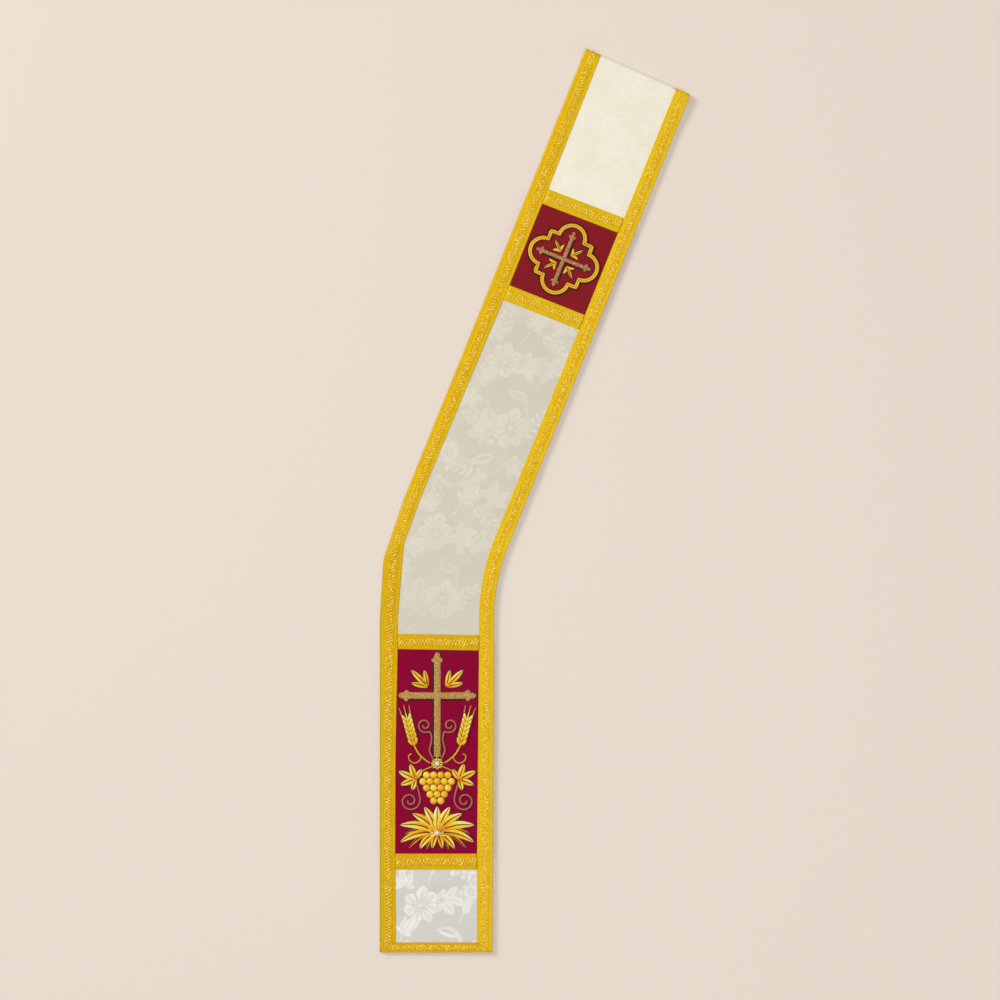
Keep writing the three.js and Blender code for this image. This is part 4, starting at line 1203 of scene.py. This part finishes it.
def bullion(name, colors):
    """Short cuts of coiled gilt wire, each a little different from the next."""
    wire, tree = new_material(name)
    stops = [(k / (len(colors) - 1), color) for k, color in enumerate(colors)]
    coil = noise_on_object(tree, 2600.0, Detail=1.0)
    shaded(
        tree, Base_Color=ramp_of(tree, marked(tree, "tone", "Fac"), stops), Roughness=0.4,
        Metallic=0.35, Specular_IOR_Level=0.15, Normal=bumped(tree, coil, 0.4, 0.0001)
    )
    return wire


rose_bullion = bullion("rose_gold_bullion", (
    (176, 110, 66), (214, 150, 104), (198, 140, 84), (236, 180, 134), (250, 212, 170)
))
tan_bullion = bullion("tan_gold_bullion", (
    (190, 140, 60), (222, 178, 84), (226, 174, 106), (240, 204, 112), (252, 228, 150)
))


def budded_cross(name, spot, arms, bar, height, bud, foot, wire, seed, dark_side):
    """Two bars of padded felt under bullion chips, each arm ended by three lobes. Dark
    silk cord runs along one side of the upright, and under the bar across it. arms are
    the ends of the upright, the reach to the side and the height of the bar across."""
    work = Needlework(spot, seed)
    up, down, side, level = arms
    bars = (((0, down), (0, up)), ((-side, level), (side, level)))
    ends = ((0, up, 0), (side, level, 90), (0, down, 180), (-side, level, 270))
    for first, last in bars:
        line = np.linspace(first, last, 40)
        work.satin(line, [bar], height, (0.5, 0.5), split=False)
    for x, y, angle in ends if foot else (*ends[:2], ends[3]):
        for spread, long, wide in ((-66, 0.62, 0.75), (66, 0.62, 0.75), (0, 1, 0.95)):
            line = petal_line((x, y), angle + spread, bud * long, 0, 12)
            widths = [bar * 0.6, bar * wide, 0.8]
            work.satin(line, widths, height, (0.5, 0.5), split=False)
    bed = work.piece(name, bullion_bed, "antique_thread")
    beyond = bar / 2 + 1.15
    lines = []
    for ends in ((down, level - beyond), (level + bar / 2, up)):
        lines.append([(dark_side * beyond, at) for at in np.linspace(*ends, 12)])
    for ends in ((-side, -beyond), (beyond, side)):
        lines.append([(at, level - beyond) for at in np.linspace(*ends, 12)])
    couched(name + "_dark_edge", spot, lines, 0.8, dark_cord, STITCH_Z + 0.5, "antique_thread")
    top = bed.data.copy()

    def drop_dark(work):
        dark = [face for face in work.faces if face.material_index == 1]
        bmesh.ops.delete(work, geom=dark, context="FACES")

    rework(top, drop_dark)
    chip = {"Chip length": 0.0017, "Chip width": 0.0007, "Spacing": 0.00075}
    mesh = grown(name + "_chips", bullion_chips, {**chip, "Seed": seed, "Bullion": wire}, top)
    finish_piece(placed(name + "_chips", mesh), None, "antique_thread")


upper_window = window_spot((CROSS_BANDS[2][2], -0.3), (CROSS_BANDS[3][1], -1.0), BEND)
lobe = np.linspace(0, math.pi, 30)
LOBE, SQUARE = 16.6, 27.2
outline = []
for quarter in range(4):
    arc = np.c_[LOBE * np.cos(lobe), SQUARE + LOBE * np.sin(lobe)]
    corner = [(-0.9 * SQUARE, SQUARE), (-0.985 * SQUARE, 0.985 * SQUARE)]
    arc = np.r_[arc, corner, [(-SQUARE, 0.9 * SQUARE)]]
    c, s = round(math.cos(quarter * math.pi / 2)), round(math.sin(quarter * math.pi / 2))
    outline += [(x * c - y * s, x * s + y * c) for x, y in arc]
outline = np.array(outline)
for name, offsets, radius, yarn, up in (
    ("medallion_quatrefoil", (-1.25, 1.25), 1.16, pale_cord, STITCH_Z + 1.05),
    ("medallion_inner_line", (0.0,), 0.4, gold_cord, STITCH_Z + 1.15),
    ("medallion_inner_edge", (2.7,), 0.5, dark_cord, STITCH_Z + 0.4),
    ("medallion_outer_edge", (-3.0,), 0.85, dark_cord, STITCH_Z + 0.6)
):
    lines = [beside(outline, distance, True) for distance in offsets]
    nodes = ["medallion_quatrefoil"] if name == "medallion_quatrefoil" else []
    couched(name, upper_window, lines, radius, yarn, up, "gold_thread", nodes, True)

arms = (28, -28, 28, 0)
budded_cross("medallion_cross", upper_window, arms, 4.7, 1.4, 8.5, True, rose_bullion, 11, 1)
for number, angle in enumerate((45, 135, 225, 315)):
    root = petal_line((0, 0), angle, 9.5)[-1]
    spray = Needlework(upper_window, 20 + number)
    for spread, length, bow in ((-50, 10, 1.4), (50, 10, -1.4), (0, 17, 0)):
        line = petal_line(root, angle + spread, length, bow)
        over = 0.4 if spread == 0 else 0.0
        spray.satin(line, [1.6, 3.6, 0.6], 1.1, (0.3, 0.7), over, spread == 0)
    spray.piece(f"medallion_spray_{number + 1}")

# The embroidery on the lower crimson panel: a tall budded cross of bullion chips, with
# wheat ears, vine leaves, a bunch of grapes and a palmette in padded gold satin stitch,
# curls of antique cord, and a pearl at the middle of the blossom and of the palmette.
lower_window = window_spot((CROSS_BANDS[0][2], 0.0), (CROSS_BANDS[1][1], 1.0), 0.0)
arms = (112, -6, 36.5, 70)
budded_cross("lower_cross", lower_window, arms, 8.4, 1.7, 12, False, tan_bullion, 12, -1)


def leaf_fan(work, root, rows, height, tones, lift=0.0, over=0.0):
    """Leaves from one root, each given as its angle, length, width and bow. Each lies
    over the one before it near the root."""
    for number, (angle, length, width, bow) in enumerate(rows):
        line = petal_line(root, angle, length, bow, max(14, int(length * 0.9)))
        widths = [min(2.6, width / 2), width, 0.8]
        raised = lift + over * number
        work.satin(line, widths, height, tones, (raised, raised * 0.3))


GRAPE_ROWS, GRAPE, GRAPE_PITCH, GRAPE_ROW, GRAPE_TOP = (4, 5, 4, 3, 2), 4.9, 8.9, 8, -29
bunch = Needlework(lower_window, 31)
for row, count in enumerate(GRAPE_ROWS):
    for k in range(count):
        x, y = (k - (count - 1) / 2) * GRAPE_PITCH, GRAPE_TOP - row * GRAPE_ROW
        bunch.boss(x, y, GRAPE - 0.45, 2.2, bunch.rng.uniform(0.42, 0.72))
bunch.piece("grape_bunch")

BLOSSOM = (0, -14.5)
blossom = Needlework(lower_window, 32)
for first in (0, 45):
    petals = [(first + 90 * k, 7.8, 4.8, 0) for k in range(4)]
    leaf_fan(blossom, BLOSSOM, petals, 1.6, (0.3, 0.85), first / 110)
blossom.piece("tie_blossom")

HEART = (0, -101)
palmette = Needlework(lower_window, 33)
# angle from straight up, length, width and bow of the leaves, from the lowest up
FAN = (
    (162, 20, 7, -1), (132, 29, 8.5, -3), (104, 47, 9.5, -5), (78, 47, 10.5, -4.5), (52, 39, 10.5, -3),
    (26, 36, 10.5, -1.5)
)
for number, (angle, length, width, bow) in enumerate(FAN):
    if number:
        # Short darker leaves look out from behind, between every two of the long ones
        between = (angle + FAN[number - 1][0]) / 2
        rows = [(sign * between, length * 0.86, 5, sign * bow) for sign in (-1, 1)]
        leaf_fan(palmette, HEART, rows, 0.9, (0.0, 0.25))
    rows = [(sign * angle, length, width, sign * bow) for sign in (-1, 1)]
    shade = 0.1 + 0.12 * (number % 2)
    leaf_fan(palmette, HEART, rows, 1.9, (shade, 0.72 + shade), 0.24 * number)
leaf_fan(palmette, HEART, [(0, 33, 10.5, 0)], 1.9, (0.3, 1.0), 1.4)
rows = [(angle, 16 - abs(angle) / 24, 5, 0) for angle in (-105, 105, -70, 70, -35, 35, 0)]
leaf_fan(palmette, HEART, rows, 1.0, (0.75, 1.1), 1.5, 0.1)
palmette.piece("palmette")


def curl(x, y, outer, inner, turns, start):
    share = np.linspace(0, 1, 80)
    radius = outer + (inner - outer) * share
    angle = np.radians(start + 360 * turns * share)
    return np.c_[x + radius * np.cos(angle), y + radius * np.sin(angle)]


def smooth_line(knots, sign=1, count=40):
    """A smooth line through a few points, by cubic pieces, mirrored by a sign of -1."""
    knots = np.array(knots, float) * (sign, 1)
    padded = np.r_[2 * knots[:1] - knots[1:2], knots, 2 * knots[-1:] - knots[-2:-1]]
    found = []
    for k in range(len(knots) - 1):
        a, b, c, d = padded[k : k + 4]
        t = np.linspace(0, 1, count // (len(knots) - 1), endpoint=False)[:, None]
        bend = (2 * a - 5 * b + 4 * c - d) * t**2 + (3 * b - a - 3 * c + d) * t**3
        found.append(b + ((c - a) * t + bend) / 2)
    return np.r_[np.concatenate(found), knots[-1:]]


# angle, and length and width as shares of the leaf's size
LOBES = ((98, 0.62, 0.3), (-98, 0.62, 0.3), (46, 0.86, 0.34), (-46, 0.86, 0.34), (0, 1, 0.36))
for side, sign in (("left", -1), ("right", 1)):
    leaf = Needlework(lower_window, 40 + sign)
    rows = [(sign * 65 + a, 23 * b, 23 * c, 0) for a, b, c in LOBES]
    leaf_fan(leaf, (sign * 27, -34), rows, 1.8, (0.3, 0.86), 0.0, 0.2)
    leaf.piece("vine_leaf_" + side)

    spray = Needlework(lower_window, 44 + sign)
    rows = [(sign * 45 + a, b, c, 0) for a, b, c in ((-33, 21, 6.5), (33, 21, 6.5), (0, 29, 7.5))]
    leaf_fan(spray, (sign * 11.5, 81), rows, 1.4, (0.25, 0.8), 0.0, 0.25)
    spray.piece("corner_spray_" + side)

    low_stem = ((25.5, -41), (23, -50), (21.2, -59))
    high_stem = ((5.6, -8), (9.5, 2), (7, 14), (8.5, 24))
    for name, knots, line in (
        ("tendril_low_" + side, low_stem, curl(34, -61, 12, 2.4, 1.45, 200)),
        ("tendril_high_" + side, high_stem, curl(15.5, 33, 9, 2.2, 1.3, 255))
    ):
        stem = smooth_line([*knots, line[0], line[3]], sign)
        line = [np.r_[stem[:-1], line[3:] * (sign, 1)]]
        sewn = (name, lower_window, line, 1.0, antique_cord, STITCH_Z + 0.9)
        couched(*sewn, "antique_thread", [name])
        shadow = (name + "_shadow", lower_window, line, 1.45, dark_cord, STITCH_Z - 0.95)
        couched(*shadow, "antique_thread")

    ear = Needlework(lower_window, 50 + sign)
    root, lean = np.array([sign * 28, 6]), sign * 15
    knots = ((9, -14), (15, -10), (22.5, -3), (28, 6))
    ear.satin(smooth_line(knots, sign), [2.2], 1.2, (0.3, 0.5), split=False)
    ear.satin(petal_line(root, lean, 46), [2.2, 2.8, 0.8], 1.3, (0.4, 0.8), split=False)
    for k in reversed(range(6)):
        start = petal_line(root, lean, 2 + 6.2 * k)[-1]
        for row in (-1, 1):
            line = petal_line(start, lean + row * 28, 11, row, 14)
            awn = petal_line(line[-1], lean + row * 9, 7 + 0.5 * k, 0, 10)
            ear.satin(awn, [0.8, 0.7, 0.4], 0.7, (0.5, 0.8), (1, 0), False, False)
            tones = (0.12 + 0.03 * k, 0.74 + 0.05 * k)
            ear.satin(line, [1.4, 4.3, 0.6], 1.2, tones, (0.0, 1.5), False)
    for reach in (8, 10):
        awn = petal_line(petal_line(root, lean, 44)[-1], lean + reach - 9, reach, 0, 10)
        ear.satin(awn, [0.8, 0.7, 0.4], 0.7, (0.5, 0.8), 0, False, False)
    ear.piece("wheat_ear_" + side)

stems = []
for sign in (-1, 1):
    stems.append(smooth_line(((5.5, -18), (14, -21.5), (21, -26), (27, -34)), sign))
    knots = ((20, -5.5), (22, -11), (28, -14), (34, -11), (35.5, -5), (32, -2.5))
    stems.append(smooth_line(knots, sign, 60))
couched("gold_stems", lower_window, stems, 0.85, gold_cord, STITCH_Z + 0.8)
couched("gold_stem_shadows", lower_window, stems, 1.25, dark_cord, STITCH_Z - 0.8)

pearl_set, given, made = new_group(
    "Geometry", "pearl_set", Geometry="Geometry", Radius=0.0, Nacre="Material"
)
pearl = node(pearl_set, "MeshUVSphere", Segments=24, Rings=14, Radius=given["Radius"])
laid = node(pearl_set, "InstanceOnPoints", Points=given["Geometry"], Instance=pearl)
finish_group(pearl_set, made, laid, given["Nacre"])

nacre, tree = new_material("pearl_nacre")
layers = noise_on_object(tree, 420.0)
shaded(
    tree, Base_Color=mixed(tree, layers, linear(226, 224, 228), linear(252, 248, 242)), Roughness=0.16,
    Coat_Weight=0.4, Coat_Roughness=0.08
)
spots = np.array([BLOSSOM, HEART], float)
base = bpy.data.meshes.new("pearl_places")
base.from_pydata(sewn_at(lower_window, spots, np.full(2, RELIEF_Z + 1.2)).tolist(), [], [])
mesh = grown("pearls", pearl_set, {"Radius": 0.0027, "Nacre": nacre}, base)
finish_piece(placed("pearls", mesh), nacre, "gold_thread")
around = np.linspace(0, 2 * math.pi, 40, endpoint=False)
rings = [spot + 3.4 * np.c_[np.cos(around), np.sin(around)] for spot in spots]
couched("pearl_rings", lower_window, rings, 0.8, gold_cord, RELIEF_Z + 1.2, closed=True)
